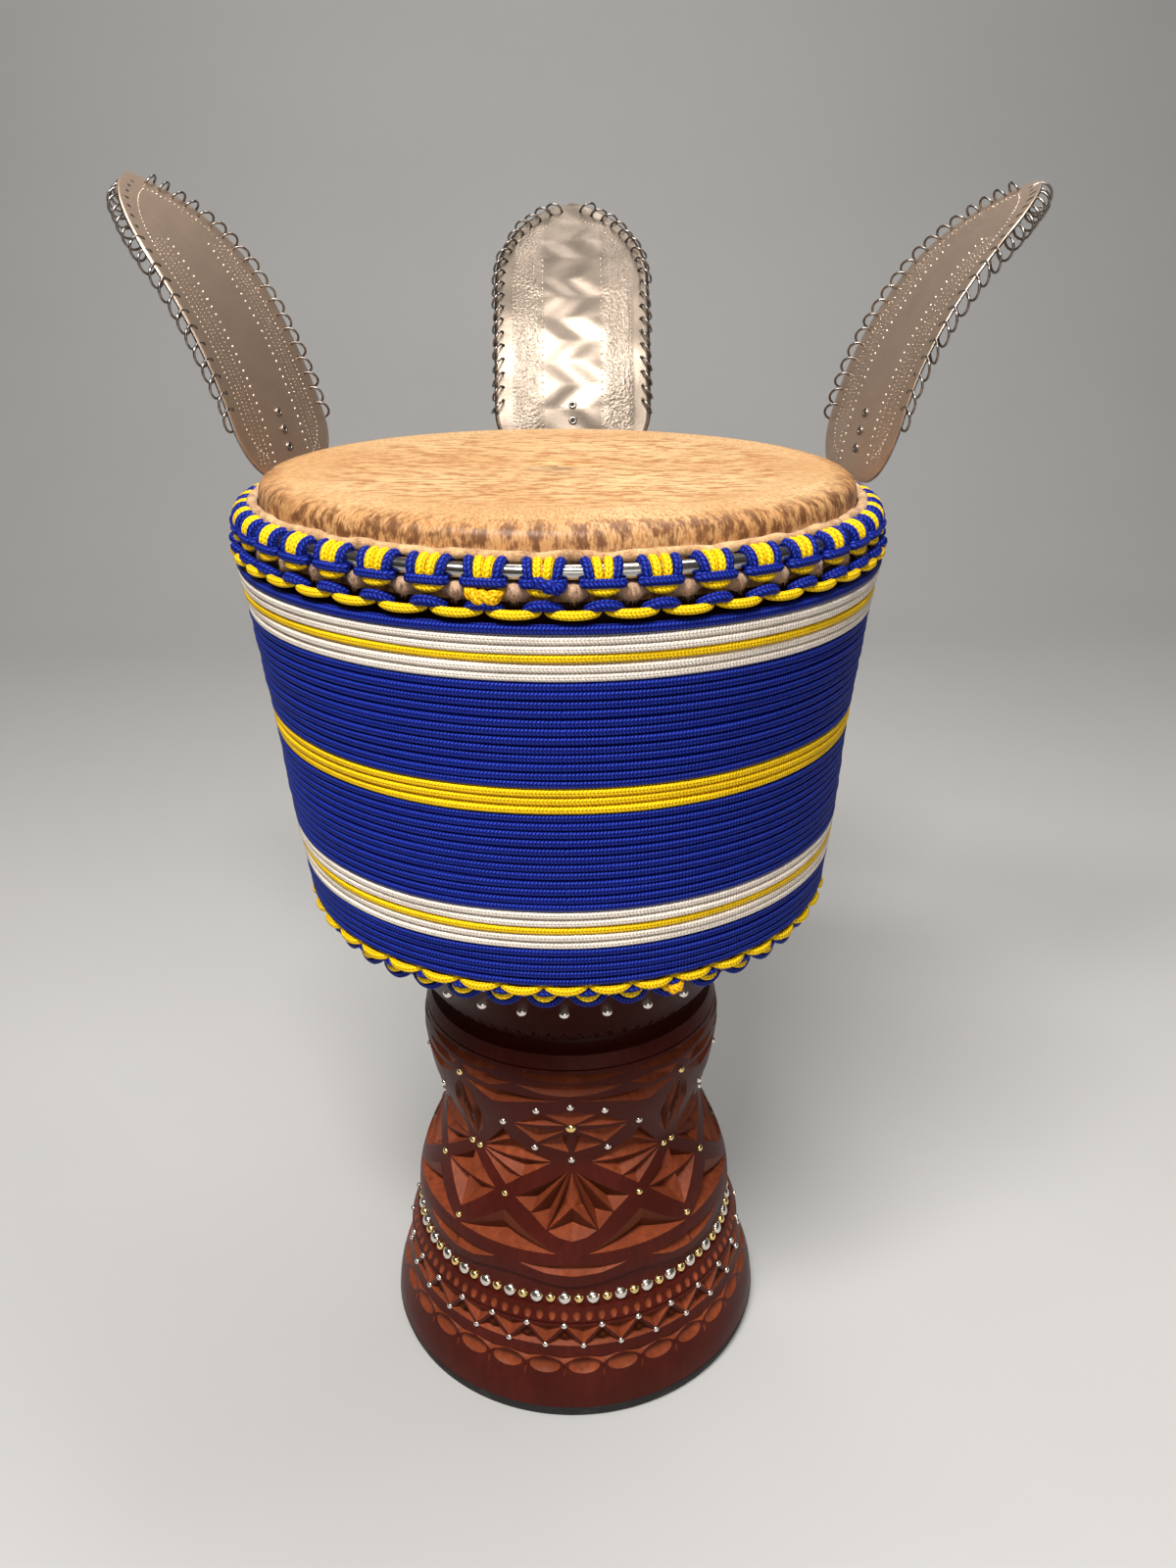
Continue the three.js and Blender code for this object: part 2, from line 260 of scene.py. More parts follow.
# Materials
class Nodes:
    """Short helpers for the nodes of a material or of the world."""

    def __init__(self, owner):
        owner.use_nodes = True
        self.nodes = owner.node_tree.nodes
        self.links = owner.node_tree.links

    def node(self, kind, values=(), output=0, **settings):
        made = self.nodes.new("ShaderNode" + kind)
        for name, value in settings.items():
            setattr(made, name, value)
        for key, value in dict(values).items():
            if isinstance(value, bpy.types.NodeSocket):
                self.links.new(value, made.inputs[key])
            else:
                made.inputs[key].default_value = value
        return made.outputs[output]

    def part(self, vector, axis):
        return self.node("SeparateXYZ", {0: vector}, output=axis)

    def ramp(self, factor, *stops):
        made = self.nodes.new("ShaderNodeValToRGB")
        ramp = made.color_ramp
        while len(ramp.elements) < len(stops):
            ramp.elements.new(0.5)
        for element, (at, colour) in zip(ramp.elements, stops):
            element.position = at
            element.color = (*colour, 1)
        self.links.new(factor, made.inputs[0])
        return made.outputs[0]

    def mix(self, factor, a, b):
        a, b = (c if isinstance(c, bpy.types.NodeSocket) else (*c, 1) for c in (a, b))
        return self.node("Mix", {0: factor, 6: a, 7: b}, output=2, data_type="RGBA")


class Look(Nodes):
    """Material with its texture nodes."""

    def __init__(self, name, **sockets):
        self.material = bpy.data.materials.new(name)
        super().__init__(self.material)
        self.shader = self.nodes["Principled BSDF"]
        for socket, value in sockets.items():
            self.shader.inputs[socket.replace("_", " ")].default_value = value
        self.place = self.node("TexCoord", output="Object")

    def math(self, operation, a, b=0.0):
        return self.node("Math", {0: a, 1: b}, operation=operation)

    def times(self, a, b):
        return self.math("MULTIPLY", a, b)

    def plus(self, a, b):
        return self.math("ADD", a, b)

    def stretched(self, *scale):
        return self.node("Mapping", {"Vector": self.place, "Scale": scale})

    def noise(self, scale, detail=4.0, roughness=0.55, vector=None):
        values = {"Vector": vector or self.place, "Scale": scale, "Detail": detail, "Roughness": roughness}
        return self.node("TexNoise", values)

    def mask(self, factor, low, high):
        """0 at low, 1 at high, soft between."""
        values = {"Value": factor, "From Min": low, "From Max": high}
        return self.node("MapRange", values, interpolation_type="SMOOTHSTEP")

    def cord(self, axis):
        """Place on the piece's own surface: along and round a cord, a turned angle, or on a plate."""
        return self.part(self.node("UVMap", uv_map="cord"), axis)

    def around(self, turn, length, across, along):
        """Seamless place on the head's shoulder in mm, stretched across and along the outline."""
        x = self.times(self.math("COSINE", turn), HEAD_RADIUS * across)
        y = self.times(self.math("SINE", turn), HEAD_RADIUS * across)
        return self.node("CombineXYZ", {0: x, 1: y, 2: self.times(length, along * across)})

    def colour(self, socket):
        self.links.new(socket, self.shader.inputs["Base Color"])

    def rough(self, value, low, high, start=0.0, end=1.0):
        values = {"Value": value, "From Min": start, "From Max": end, "To Min": low, "To Max": high}
        self.links.new(self.node("MapRange", values), self.shader.inputs["Roughness"])

    def bump(self, height, distance, strength):
        values = {"Height": height, "Distance": distance, "Strength": strength}
        self.links.new(self.node("Bump", values), self.shader.inputs["Normal"])


def shade(rgb, factor):
    return tuple(c * factor for c in rgb)


# Heights in metres between which painted shade turns the wood nearly black under the bowl
PAINTED_SHADE_UNDER_BOWL = (0.256, 0.272)


def wood_look(name, colour, gloss, contrast, under):
    """Upright grain with pores and blotches, painted shade on what faces down, and painted shade that turns
    it nearly black under the bowl.
    """
    look = Look(name, Specular_IOR_Level=0.09)
    grain = look.noise(26, 6, 0.6, look.stretched(9, 9, 0.7))
    pores = look.noise(160, 3, 0.6, look.stretched(6, 6, 0.25))
    tones = [shade(colour, t) for t in (1 - contrast, 1, 1 + contrast)]
    tone = look.ramp(grain, *zip((0.25, 0.5, 0.78), tones))
    aged = look.mix(look.mask(look.noise(22, 3), 0.35, 0.7), tone, shade(colour, 0.72))
    pitted = look.mix(look.mask(pores, 0.62, 0.72), aged, shade(colour, 0.35))
    facing = look.part(look.node("NewGeometry", output="Normal"), 2)
    # Painted shade: faces that turn downwards take the darker tone given by under.
    shaded_facing_down = look.mix(look.mask(facing, 0.45, -0.4), pitted, shade(colour, under))
    # Painted shade: above these heights, under the bowl, the wood turns nearly black.
    look.colour(look.mix(look.mask(look.part(look.place, 2), *PAINTED_SHADE_UNDER_BOWL), shaded_facing_down, shade(colour, 0.35)))
    look.rough(grain, gloss, gloss + 0.2)
    look.bump(look.plus(look.times(grain, 0.6), pores), 0.0004, 0.5)
    return look.material


def braid_look(name, colour, dark, light):
    """Herringbone stitches along a cord, from its length in mm and its turn, with painted shade in the gaps
    between stitches and a painted highlight on their crowns.
    """
    stitch, rows, slant = 1.9, 6, 0.8
    look = Look(name, Roughness=0.5, Specular_IOR_Level=0.12)
    row = look.times(look.cord(1), rows)
    within = look.math("FRACT", row)
    odd = look.math("MODULO", look.math("FLOOR", row), 2)
    lean = look.times(look.plus(look.times(odd, 2), -1), slant)
    offset = look.times(look.plus(within, -0.5), lean)
    along = look.plus(look.times(look.cord(0), 1 / stitch), offset)
    wave = look.math("ABSOLUTE", look.math("SINE", look.times(along, math.pi)))
    bulge = look.math("SINE", look.times(within, math.pi))
    stitched = look.math("POWER", look.times(wave, bulge), 0.55)
    fibre = look.noise(900, 2, 0.6)
    base = look.mix(look.mask(look.noise(45, 3), 0.3, 0.75), shade(colour, 0.86), shade(colour, 1.08))
    thread = look.mix(look.mask(fibre, 0.4, 0.75), base, shade(colour, 1.3))
    # Painted highlight: the crowns of the stitches take the light colour.
    raised = look.mix(look.mask(stitched, 0.72, 0.98), thread, light)
    # Painted shade: the gaps between the stitches take the dark tone.
    look.colour(look.mix(look.mask(stitched, 0.1, 0.6), shade(colour, dark), raised))
    look.bump(look.plus(stitched, look.times(fibre, 0.25)), 0.0006, 0.8)
    return look.material


def metal_look(name, colour, rough_low, rough_high, scuff, stain, beaten=None):
    """Bright metal or metal showing wear, with fine scratches and dull patches, and on a plate two pecked
    bands.
    """
    look = Look(name, Metallic=1.0)
    patch = look.noise(scuff, 5, 0.6)
    scratch = look.noise(300, 2, 0.5, look.stretched(1, 1, 8))
    look.colour(look.mix(look.mask(patch, 0.35, 0.75), colour, shade(colour, stain)))
    uneven = look.plus(look.times(scratch, 0.35), look.times(patch, 0.65))
    look.rough(uneven, rough_low, rough_high, 0.3, 0.7)
    if beaten is None:
        look.bump(look.plus(scratch, patch), 0.0002, 0.12)
        return look.material
    across = look.math("ABSOLUTE", look.cord(0))
    band = look.times(look.mask(across, 20, 28), look.mask(across, 46, 40))
    pecked = look.times(look.noise(460, 2, 0.6), look.times(band, beaten))
    look.bump(look.plus(look.times(scratch, 0.2), pecked), 0.0006, 0.6)
    return look.material


def rubber_look(name):
    look = Look(name, Specular_IOR_Level=0.3)
    dust = look.noise(60, 5)
    look.colour(look.mix(look.mask(dust, 0.5, 0.8), (0.012, 0.012, 0.012), (0.05, 0.048, 0.045)))
    look.rough(dust, 0.6, 0.9)
    look.bump(look.noise(700, 2), 0.0003, 0.4)
    return look.material


HIDE_LIGHT = (0.71, 0.49, 0.25)
HIDE_TAN = (0.56, 0.335, 0.145)
HIDE_SPOT = (0.37, 0.155, 0.045)
HIDE_BROWN = (0.15, 0.06, 0.023)


def hide_look():
    """Shaved goat hide: streaked flat top, and dark clumps of stubble over the shoulder."""
    look = Look("goat_hide", Specular_IOR_Level=0.3)
    turn, length = look.math("RADIANS", look.cord(0)), look.cord(1)
    cloud = look.noise(10, 4)
    base = look.mix(look.mask(cloud, 0.3, 0.7), HIDE_LIGHT, HIDE_TAN)
    speckle = look.noise(230, 5, 0.7, look.stretched(0.36, 1, 1))
    flat = look.mask(length, 50, 85)
    spotted = look.mix(look.times(look.mask(speckle, 0.44, 0.6), flat), base, HIDE_SPOT)
    stroke = look.noise(1, 3, 0.65, look.around(turn, length, 0.85, 0.34))
    stubble = look.times(look.mask(stroke, 0.45, 0.6), look.mask(length, 110, 45))
    tinted = look.mix(look.times(stubble, 0.85), spotted, HIDE_SPOT)
    low = look.mask(length, 50, 34)
    rusty = look.mix(look.times(low, 0.5), tinted, HIDE_SPOT)
    clump = look.noise(0.15, 3, 0.55, look.around(turn, length, 1, 0.6))
    ragged = look.plus(clump, look.times(look.plus(stroke, -0.5), 0.35))
    look.colour(look.mix(look.times(look.mask(ragged, 0.4, 0.62), low), rusty, HIDE_BROWN))
    look.rough(cloud, 0.36, 0.52)
    look.bump(look.plus(look.times(speckle, 0.5), stroke), 0.0003, 0.4)
    return look.material


def fur_look(name, dark, middle, light):
    look = Look(name, Roughness=0.7, Sheen_Weight=0.3)
    lock = look.noise(120, 4, 0.6, look.stretched(1, 1, 0.4))
    fine = look.noise(800, 2, 0.6)
    tone = look.ramp(lock, (0.3, dark), (0.5, middle), (0.7, light))
    look.colour(look.mix(look.times(look.mask(fine, 0.45, 0.7), 0.5), tone, light))
    look.bump(fine, 0.0005, 0.6)
    return look.material


# The last value of each wood is the tone of its painted shade on faces that turn downwards.
LACQUER = wood_look("dark_lacquer", (0.070, 0.010, 0.006), 0.28, 0.35, 0.8)
FRESH_CUT = wood_look("knife_cut", (0.235, 0.052, 0.02), 0.32, 0.4, 0.26)
RUBBER = rubber_look("black_rubber")
HIDE = hide_look()
KNOB_FUR = fur_look("knob_fur", (0.14, 0.07, 0.04), (0.36, 0.21, 0.13), (0.56, 0.37, 0.24))
LIP_FUR = fur_look("lip_fur", (0.24, 0.11, 0.04), (0.50, 0.28, 0.12), (0.70, 0.45, 0.22))
STEEL = metal_look("bright_steel", (0.50, 0.49, 0.47), 0.14, 0.25, 40, 0.8)
# The studs' steel, brighter and warmer than the bar's: a painted reflection of the warm surroundings.
STUD_STEEL_LIT = metal_look("stud_steel_painted_reflection", (0.84, 0.78, 0.72), 0.14, 0.28, 40, 0.85)
BRASS = metal_look("brass_nails", (0.95, 0.72, 0.30), 0.14, 0.28, 40, 0.8)
TIN_SATIN = metal_look("tin_satin", (0.74, 0.56, 0.43), 0.36, 0.46, 24, 0.84, 0.5)
# The back plate's tin, far darker than the same tin on the side plates: painted shade against the light it
# reflects.
TIN_BACK_SHADED = metal_look("tin_back_painted_darker", (0.20, 0.165, 0.135), 0.32, 0.46, 30, 0.7, 2)
PUNCHED = metal_look("tin_punched", (0.80, 0.70, 0.58), 0.25, 0.35, 40, 0.9)
IRON = metal_look("iron_wire", (0.30, 0.27, 0.25), 0.18, 0.32, 60, 0.7)
# Dark discs of painted shade that stand for the holes in the plates and rivets.
HOLE_SHADE = rubber_look("painted_hole_shade")
# For each cord: its colour, the tone of the painted shade between stitches, and the colour of the painted
# highlight on them.
CORD = {"blue": braid_look("blue_cord", (0.0035, 0.010, 0.22), 0.2, (0.02, 0.06, 0.42)),
        "yellow": braid_look("yellow_cord", (0.98, 0.60, 0.004), 0.4, (1.0, 0.70, 0.02)),
        "white": braid_look("white_cord", (0.90, 0.80, 0.70), 0.5, (0.98, 0.90, 0.82)),
        "gold": braid_look("gold_cord_end", (0.95, 0.48, 0.005), 0.4, (1.0, 0.60, 0.02))}


# Wooden shell: height and radius of its outside, foot to collar, groove, and bowl
FOOT_TABLE = [
    [9.4, 131.4], [20, 130], [32, 126.5], [45, 122], [50, 120.5], [60, 119.6], [68, 118.8],
    [73, 116.8], [79, 114], [84, 112.3], [90, 111.3], [97, 111.2], [108, 111], [125, 107], [143, 100],
    [160, 93], [170, 89.6], [177, 88.5], [184, 89.3], [193, 91.5], [210, 96], [226, 98.6], [238, 99.8],
    [250, 98.5], [262, 94.5],
]
BOWL_TABLE = [
    [275, 95], [285, 101.5], [300, 113], [308, 119.5], [322, 133], [336, 148], [346, 155.5], [353, 158],
    [403, 162], [460, 166.5], [533, 169.2], [582, 170.6],
]
COLLAR_TOP = 262
GROOVE_TOP = 275
GROOVE_TABLE = [[COLLAR_TOP, 94.5], [263.2, 92], [266, 86.5], [269, 86], [271, 91], [GROOVE_TOP, 95]]
SHELL_INSIDE = [[589.6, 161], [460, 151], [380, 128], [270, 67], [140, 67], [9.4, 107]]
foot_radius = hermite(FOOT_TABLE)
bowl_radius = hermite(BOWL_TABLE)
BELT = {"low": 79, "high": 92, "sink": 2.4}


def wood_radius(z):
    groove = np.interp(z, *np.array(GROOVE_TABLE, float).T)
    return np.where(z <= COLLAR_TOP, foot_radius(z), np.where(z < GROOVE_TOP, groove, bowl_radius(z)))


def on_wood(angle, z, sink=0.0):
    """Points on the wood, sunk along its normal, and the normals."""
    angle, z, sink = np.broadcast_arrays(angle, np.asarray(z, float), sink)
    slope = (wood_radius(z + 0.5) - wood_radius(z - 0.5))[..., None]
    normal = unit(polar(angle, 1, 0) - slope * (0, 0, 1))
    return polar(angle, wood_radius(z), z) - sink[..., None] * normal, normal


# Carving is drawn on half tiles of the unrolled wood that repeat as mirror pairs
ACROSS = 1.75
TRACE = 3.52
CUT_DEPTH = 1.8


class Tile:
    """Half of one carved motif: its cuts as sharp lines with depths, then its triangles."""

    def __init__(self, width, zone, step, cuts=(), spoon=None, ground=lambda angle, z: 0.0):
        self.width, self.step, self.ground = width, step, ground
        self.low, self.high = zone
        self.points, self.lines, self.cells = [], [], []
        self.known = {}
        if spoon:
            self.gouge(*spoon)
        for cut in cuts:
            self.chip(*cut)

    def point(self, angle, z, depth):
        key = (round(angle, 2), round(z, 2))
        if key not in self.known:
            self.known[key] = len(self.points)
            self.points.append((angle, z, depth))
        return self.known[key]

    def line(self, a, b):
        """Knife line between two points, traced closely so that it follows the round wood."""
        a, b = np.array(a, float), np.array(b, float)
        gap = math.hypot((b[0] - a[0]) * ACROSS, b[1] - a[1])
        count = max(1, math.ceil(gap / TRACE))
        spots = [self.point(*(a + (b - a) * t)) for t in np.linspace(0, 1, count + 1)]
        self.lines += zip(spots, spots[1:])

    def trace(self, row):
        for a, b in zip(row, row[1:]):
            self.line(a, b)

    def chip(self, outline, inner, spokes=None):
        """Cut with flat sides from an outline down to inner points [angle, height, depth]."""
        corners = [(a, z, self.ground(a, z)) for a, z in outline]
        inner = [(a, z, depth * CUT_DEPTH) for a, z, depth in inner]
        for a, b in zip(corners, corners[1:] + corners[:1]):
            on_mirror = a[0] == b[0] and a[0] in (0, self.width)
            if not on_mirror:
                self.line(a, b)
        for i, k in spokes or [(i, 0) for i in range(len(corners))]:
            self.line(corners[i], inner[k])
        self.trace(inner)
        self.cells.append(np.array(outline, float))

    def gouge(self, height, half, depth, count=14):
        """Half of a spoon cut with a round floor, on the tile's first edge."""
        turn = np.radians(np.linspace(0, 180, count))
        for share in (1, 0.8, 0.55, 0.25):
            wide, long = half[0] * share, half[1] * share
            row = [(round(wide * math.sin(t), 3), height + long * math.cos(t), depth * (1 - share ** 2))
                   for t in turn]
            if share == 1:
                self.trace(row)
                self.cells.append(np.array(row)[:, :2])
            for spot in row:
                self.point(*spot)
        self.point(0, height, depth)

    def inside(self, angle, z):
        found = np.zeros(len(angle), bool)
        for cell in self.cells:
            hit = np.zeros(len(angle), bool)
            for (a0, z0), (a1, z1) in zip(cell, np.roll(cell, -1, 0)):
                cross = (z0 > z) != (z1 > z)
                with np.errstate(divide="ignore", invalid="ignore"):
                    hit ^= cross & (angle < a0 + (z - z0) * (a1 - a0) / (z1 - z0))
            found |= hit
        return found

    def background(self):
        """Edge points a degree apart, and a plain grid where nothing is cut."""
        for a in np.arange(0, self.width + 0.5):
            for z in (self.low, self.high):
                self.point(a, z, self.ground(a, z))
        rows = np.linspace(self.low, self.high, 1 + round((self.high - self.low) / self.step[1]))
        columns = np.linspace(0, self.width, 1 + round(self.width / self.step[0]))
        a, z = (g.ravel() for g in np.meshgrid(columns, rows[1:-1]))
        made = np.array([p[:2] for p in self.points])
        near = np.hypot((a[:, None] - made[:, 0]) * ACROSS, z[:, None] - made[:, 1]).min(1)
        keep = ~self.inside(a, z) & (near > 0.9)
        for angle, height in zip(a[keep], z[keep]):
            self.point(angle, height, self.ground(angle, height))

    def triangles(self):
        self.background()
        flat = [Vector((a * ACROSS, z)) for a, z, depth in self.points]
        verts, lines, faces, from_verts, from_lines, _ = delaunay_2d_cdt(flat, self.lines, [], 0, 1e-4)
        angle, z = np.array([(v.x / ACROSS, v.y) for v in verts]).T
        depth = np.array([self.points[o[0]][2] if o else self.ground(v.x / ACROSS, v.y)
                          for v, o in zip(verts, from_verts)])
        sharp = [line for line, o in zip(lines, from_lines) if o]
        faces = np.array(faces)
        cut = self.inside(angle[faces].mean(1), z[faces].mean(1))
        return angle, z, depth, faces, cut, sharp


class Shell(Maker):
    """The wood's whole surface, gathered zone by zone and joined at shared points."""

    def carve(self, tile, phase, fresh=1):
        """Repeat a half tile round the wood, its cuts bare or lacquered."""
        angle, z, depth, faces, cut, sharp = tile.triangles()
        for k in range(round(180 / tile.width)):
            for mirror in (1, -1):
                start = self.count
                spots, _ = on_wood(phase + 2 * tile.width * k + mirror * angle, z, depth)
                self.add(spots, faces if mirror == 1 else faces[:, ::-1])
                self.finish[-len(faces):] = (fresh * cut).tolist()
                self.sharp |= {(a + start, b + start) for a, b in sharp}

    def plain(self, heights, crease=(), sink=0.0):
        """Turned stretch of wood, with creases at some rows."""
        sink = np.broadcast_to(sink, (len(heights),))[:, None]
        self.ridge(on_wood(np.arange(RING_STEPS)[None], np.array(heights)[:, None], sink)[0], crease)

    def ridge(self, spots, crease=()):
        start = self.count
        self.add(spots, sheet_faces(len(spots), RING_STEPS, wrap_columns=True))
        for row in crease:
            ring = start + row * RING_STEPS
            self.sharp |= {(ring + j, ring + (j + 1) % RING_STEPS) for j in range(RING_STEPS)}

    def weld(self):
        """Join points of neighbouring zones that lie on each other."""
        verts = np.concatenate(self.verts)
        keys = np.round(verts / 0.02).astype(np.int64)
        _, first, back = np.unique(keys, axis=0, return_index=True, return_inverse=True)
        back = back.ravel()
        self.verts = [verts[first]]
        faces = [tuple(int(k) for k in back[list(f)]) for f in self.faces]
        keep = [i for i, f in enumerate(faces) if len(set(f)) == len(f)]
        self.faces = [faces[i] for i in keep]
        self.uvs = [self.uvs[i] for i in keep]
        self.finish = [self.finish[i] for i in keep]
        self.sharp = {tuple(sorted((int(back[a]), int(back[b])))) for a, b in self.sharp}


# Rows round the foot and under the bowl's flange: leaves, zigzag, notches and scallops
NAIL_COUNT = 30
NAIL_PHASE = 2
HALF_NAIL = 180 / NAIL_COUNT
LEAF_ZONE = (30, 46)
ZIGZAG_ZONE = (50, 69)
NOTCH_HALF = 2
NOTCH_ZONE = (70, 78)
TOOTH_HALF = 180 / 66
SCALLOP_ZONE = (269, 281)
LEAF_SPOON = (38.4, (4.7, 4.7), 2.4)
NOTCH_SPOON = (74.2, (1.15, 3.2), 1.7, 9)
LEAF_CUTS = [
    ([(6, 44.3), (0, 44.7), (2.8, 43.2), (4.6, 41.6), (6, 39.6)], [(6, 43.0, 1.2)], [(1, 0), (3, 0)]),
    ([(6, 38.8), (5.6, 36), (6, 31.2)], [(6, 36.5, 1.3)]),
]
ZIGZAG_CUTS = [
    ([(0, 67.4), (5.4, 67.4), (0, 54)], [(0, 64.3, 4.6)]),
    ([(6, 65.6), (0.6, 52), (6, 52)], [(6, 57, 4.4)]),
]
SCALLOP_CUT = ([(TOOTH_HALF, 280), (0.7, 275.4), (TOOTH_HALF, 269.8)], [(TOOTH_HALF, 276, 4.6)])

# Main panel, four around the waist, each mirrored about its middle: corners, inner points and spokes
PANEL_HALF = 45
PANEL_PHASE = -1
PANEL_ZONE = (BELT["high"], 243.8)
COLLAR_ZONE = (243.8, 252)
WAVE = {"middle": 97.2, "swing": 3.4, "edge": 0.5}
CRESCENT = [(0, 0), (2, 1), (4, 0)]
MEDALLION = [
    ([(22, 208.2), (10.5, 219), (2.2, 211)], [(10.5, 214.8, 3.4)]),
    ([(0, 222.6), (9.2, 219.6), (1.2, 211.4), (0, 211.4)], [(0, 218.6, 2.6)], [(0, 0), (1, 0), (2, 0)]),
    ([(22, 206.4), (2.4, 206.2), (13.8, 192.6)], [(13.2, 203.6, 4.2)]),
    ([(12.4, 191), (1, 203.6), (1, 184.8)], [(4.6, 195.6, 3.8)]),
]
FLANK = [
    ([(39.6, 176), (28, 199.4), (25.4, 190.8)], [(29.6, 190, 2.8)]),
    ([(40, 174.4), (25, 190), (8.4, 176)], [(25, 184.6, 4.4)]),
    ([(40, 173.2), (8.6, 175), (20.8, 163.2)], [(21.4, 171.2, 4.4)]),
    ([(40.4, 171.8), (21.5, 162.4), (27, 155.6)], [(28, 163.6, 3.8)]),
]
SHIELD = [
    ([(1.6, 169.6), (22.4, 150), (15.6, 142.8)], [(14.6, 150.6, 4.6)]),
    ([(1.0, 169.2), (15.2, 142.4), (9.4, 133.4)], [(9.2, 143.6, 5)]),
    ([(0, 168.6), (8.9, 134), (0, 147.6)], [(4.2, 147.4, 4.6)]),
    ([(0, 147), (8.7, 133), (5, 129.3), (0, 127)], [(0, 136.4, 4.8)]),
]
LOW_CORNER = [
    ([(44, 119.2), (26, 140.6), (5.4, 118.6)], [(27, 132.4, 2.4), (26, 125.6, 5.6)],
     [(0, 0), (1, 0), (2, 0), (0, 1), (2, 1)]),
]
LOZENGE = [
    ([(45, 167.4), (31.4, 151.4), (45, 151.4)], [(40.4, 157.6, 4.2)]),
    ([(45, 150.4), (31.4, 150.4), (45, 129.8)], [(41, 145, 4.4)]),
]
RIB_AND_BROW = [
    ([(45, 230.5), (42.6, 205), (45, 178)], [(45, 207, 3.6)]),
    ([(44.4, 228.5), (42.2, 205), (44, 180), (39.4, 190), (37.2, 205), (39.8, 219)], [(40.2, 206, 3.2)],
     [(0, 0), (2, 0)]),
    ([(42.4, 232), (30, 222.6), (14, 229.4), (3, 231.9), (20, 234)], [(29, 228, 3)]),
    ([(0, 243), (11, 242.6), (20, 241), (10, 236.6), (0, 235.2)], [(0, 240, 2.6), (10, 240, 2)], CRESCENT),
    ([(43.6, 241.6), (33, 242.8), (21.4, 241.4), (30, 235.6), (40, 236.4)], [(32, 239.8, 2.4)]),
]
LOW_CRESCENTS = [
    ([(0, 111.2), (9, 110.4), (18.4, 109.7), (9.6, 104.4), (0, 102.4)],
     [(0, 109.2, 2.8), (9.5, 108.4, 2.2)], CRESCENT),
    ([(45, 110.6), (36, 110), (27.6, 109), (36, 102.4), (45, 100)],
     [(45, 108.6, 2.8), (36, 107.8, 2.2)], CRESCENT),
]
COLLAR_CUTS = [
    ([(0, 251), (12, 250.6), (22.6, 249), (12, 246), (0, 245)],
     [(0, 248.6, 2.2), (11, 248.8, 1.8)], CRESCENT),
    ([(45, 251), (34, 250.6), (24, 249), (34, 245.4), (45, 244.4)],
     [(45, 248.4, 2.4), (35, 248.6, 1.8)], CRESCENT),
]


def scallop_tile():
    tile = Tile(TOOTH_HALF, SCALLOP_ZONE, (1, 1.5), [SCALLOP_CUT])
    tile.line((0, 275.4, 0), (0.7, 275.4, 0))
    return tile


def wave_height(angle):
    return WAVE["middle"] - WAVE["swing"] * math.cos(math.radians(8 * angle))


def panel_ground(angle, z):
    return BELT["sink"] if z < wave_height(angle) - WAVE["edge"] / 2 else 0.0


def panel_tile():
    tile = Tile(PANEL_HALF, PANEL_ZONE, (2.0, 3.0), ground=panel_ground)
    for lift, depth in ((0, 0.0), (-WAVE["edge"], BELT["sink"])):
        tile.trace([(a, wave_height(a) + lift, depth) for a in np.arange(0, PANEL_HALF + 0.5, 1.5)])
    for cut in MEDALLION + FLANK + SHIELD + LOW_CORNER + LOZENGE + RIB_AND_BROW + LOW_CRESCENTS:
        tile.chip(*cut)
    return tile


def make_shell():
    shell = Shell()
    shell.plain([9.4, 10.4, 14, 18, 22, 26, LEAF_ZONE[0]], [0])
    shell.carve(Tile(HALF_NAIL, LEAF_ZONE, (1.5, 2.2), LEAF_CUTS, LEAF_SPOON), NAIL_PHASE)
    shell.plain([LEAF_ZONE[1], 47, 48.5, ZIGZAG_ZONE[0]])
    shell.carve(Tile(HALF_NAIL, ZIGZAG_ZONE, (1.5, 2.2), ZIGZAG_CUTS), NAIL_PHASE)
    shell.plain([ZIGZAG_ZONE[1], 69.4, NOTCH_ZONE[0]], [0, 1, 2], [0, 1.2, 0])
    shell.carve(Tile(NOTCH_HALF, NOTCH_ZONE, (1, 2), (), NOTCH_SPOON), 0)
    shell.plain([NOTCH_ZONE[1], BELT["low"], 79.6, 83, 87, BELT["high"]], [1, 2], [0, 0] + 4 * [BELT["sink"]])
    shell.carve(panel_tile(), PANEL_PHASE)
    shell.carve(Tile(PANEL_HALF, COLLAR_ZONE, (2, 2), COLLAR_CUTS), PANEL_PHASE)
    shell.plain([COLLAR_ZONE[1], 252.7, 253.1, 253.5, 255, 258, 260.6, COLLAR_TOP], [1, 2, 3, 7],
                [0, 0, 1, 0, 0, 0, 0, 0])
    shell.plain([COLLAR_TOP, 263.2, 266, SCALLOP_ZONE[0]], [0])
    shell.carve(scallop_tile(), 0, fresh=0)
    shell.plain([SCALLOP_ZONE[1], 285, 292, 300, 308, 315, 322, 329, 336, 341, 346, 353, 380, 403, 430, 460,
                 500, 540, 582])
    rim = [[582, float(wood_radius(582))], [586.5, 168], [589.6, 164.5], [590.4, 162.5], [589.6, 161]]
    base = [SHELL_INSIDE[-1], [9.4, float(wood_radius(9.4))]]
    for rows, crease in ((rim, []), (SHELL_INSIDE, []), (base, [0, 1])):
        z, r = np.array(rows, float).T[..., None]
        shell.ridge(polar(np.arange(RING_STEPS)[None], r, z), crease)
    shell.weld()
    shell.piece("carved_shell", [LACQUER, FRESH_CUT], "lacquered_wood", ["wooden_shell"])


make_shell()


# Rubber edge that the drum stands on
EDGE_PROFILE = [[107, 9], [107, 0.6], [107.6, 0], [128.6, 0], [129.6, 0.5], [130.2, 2], [131.6, 7.6],
                [131.5, 8.8], [130.6, 9.2], [107, 9]]


def make_foot_edge():
    edge = Maker()
    edge.lathe(EDGE_PROFILE)
    edge.piece("foot_edge", [RUBBER], "black_rubber", ["rubber_foot_ring"])


make_foot_edge()


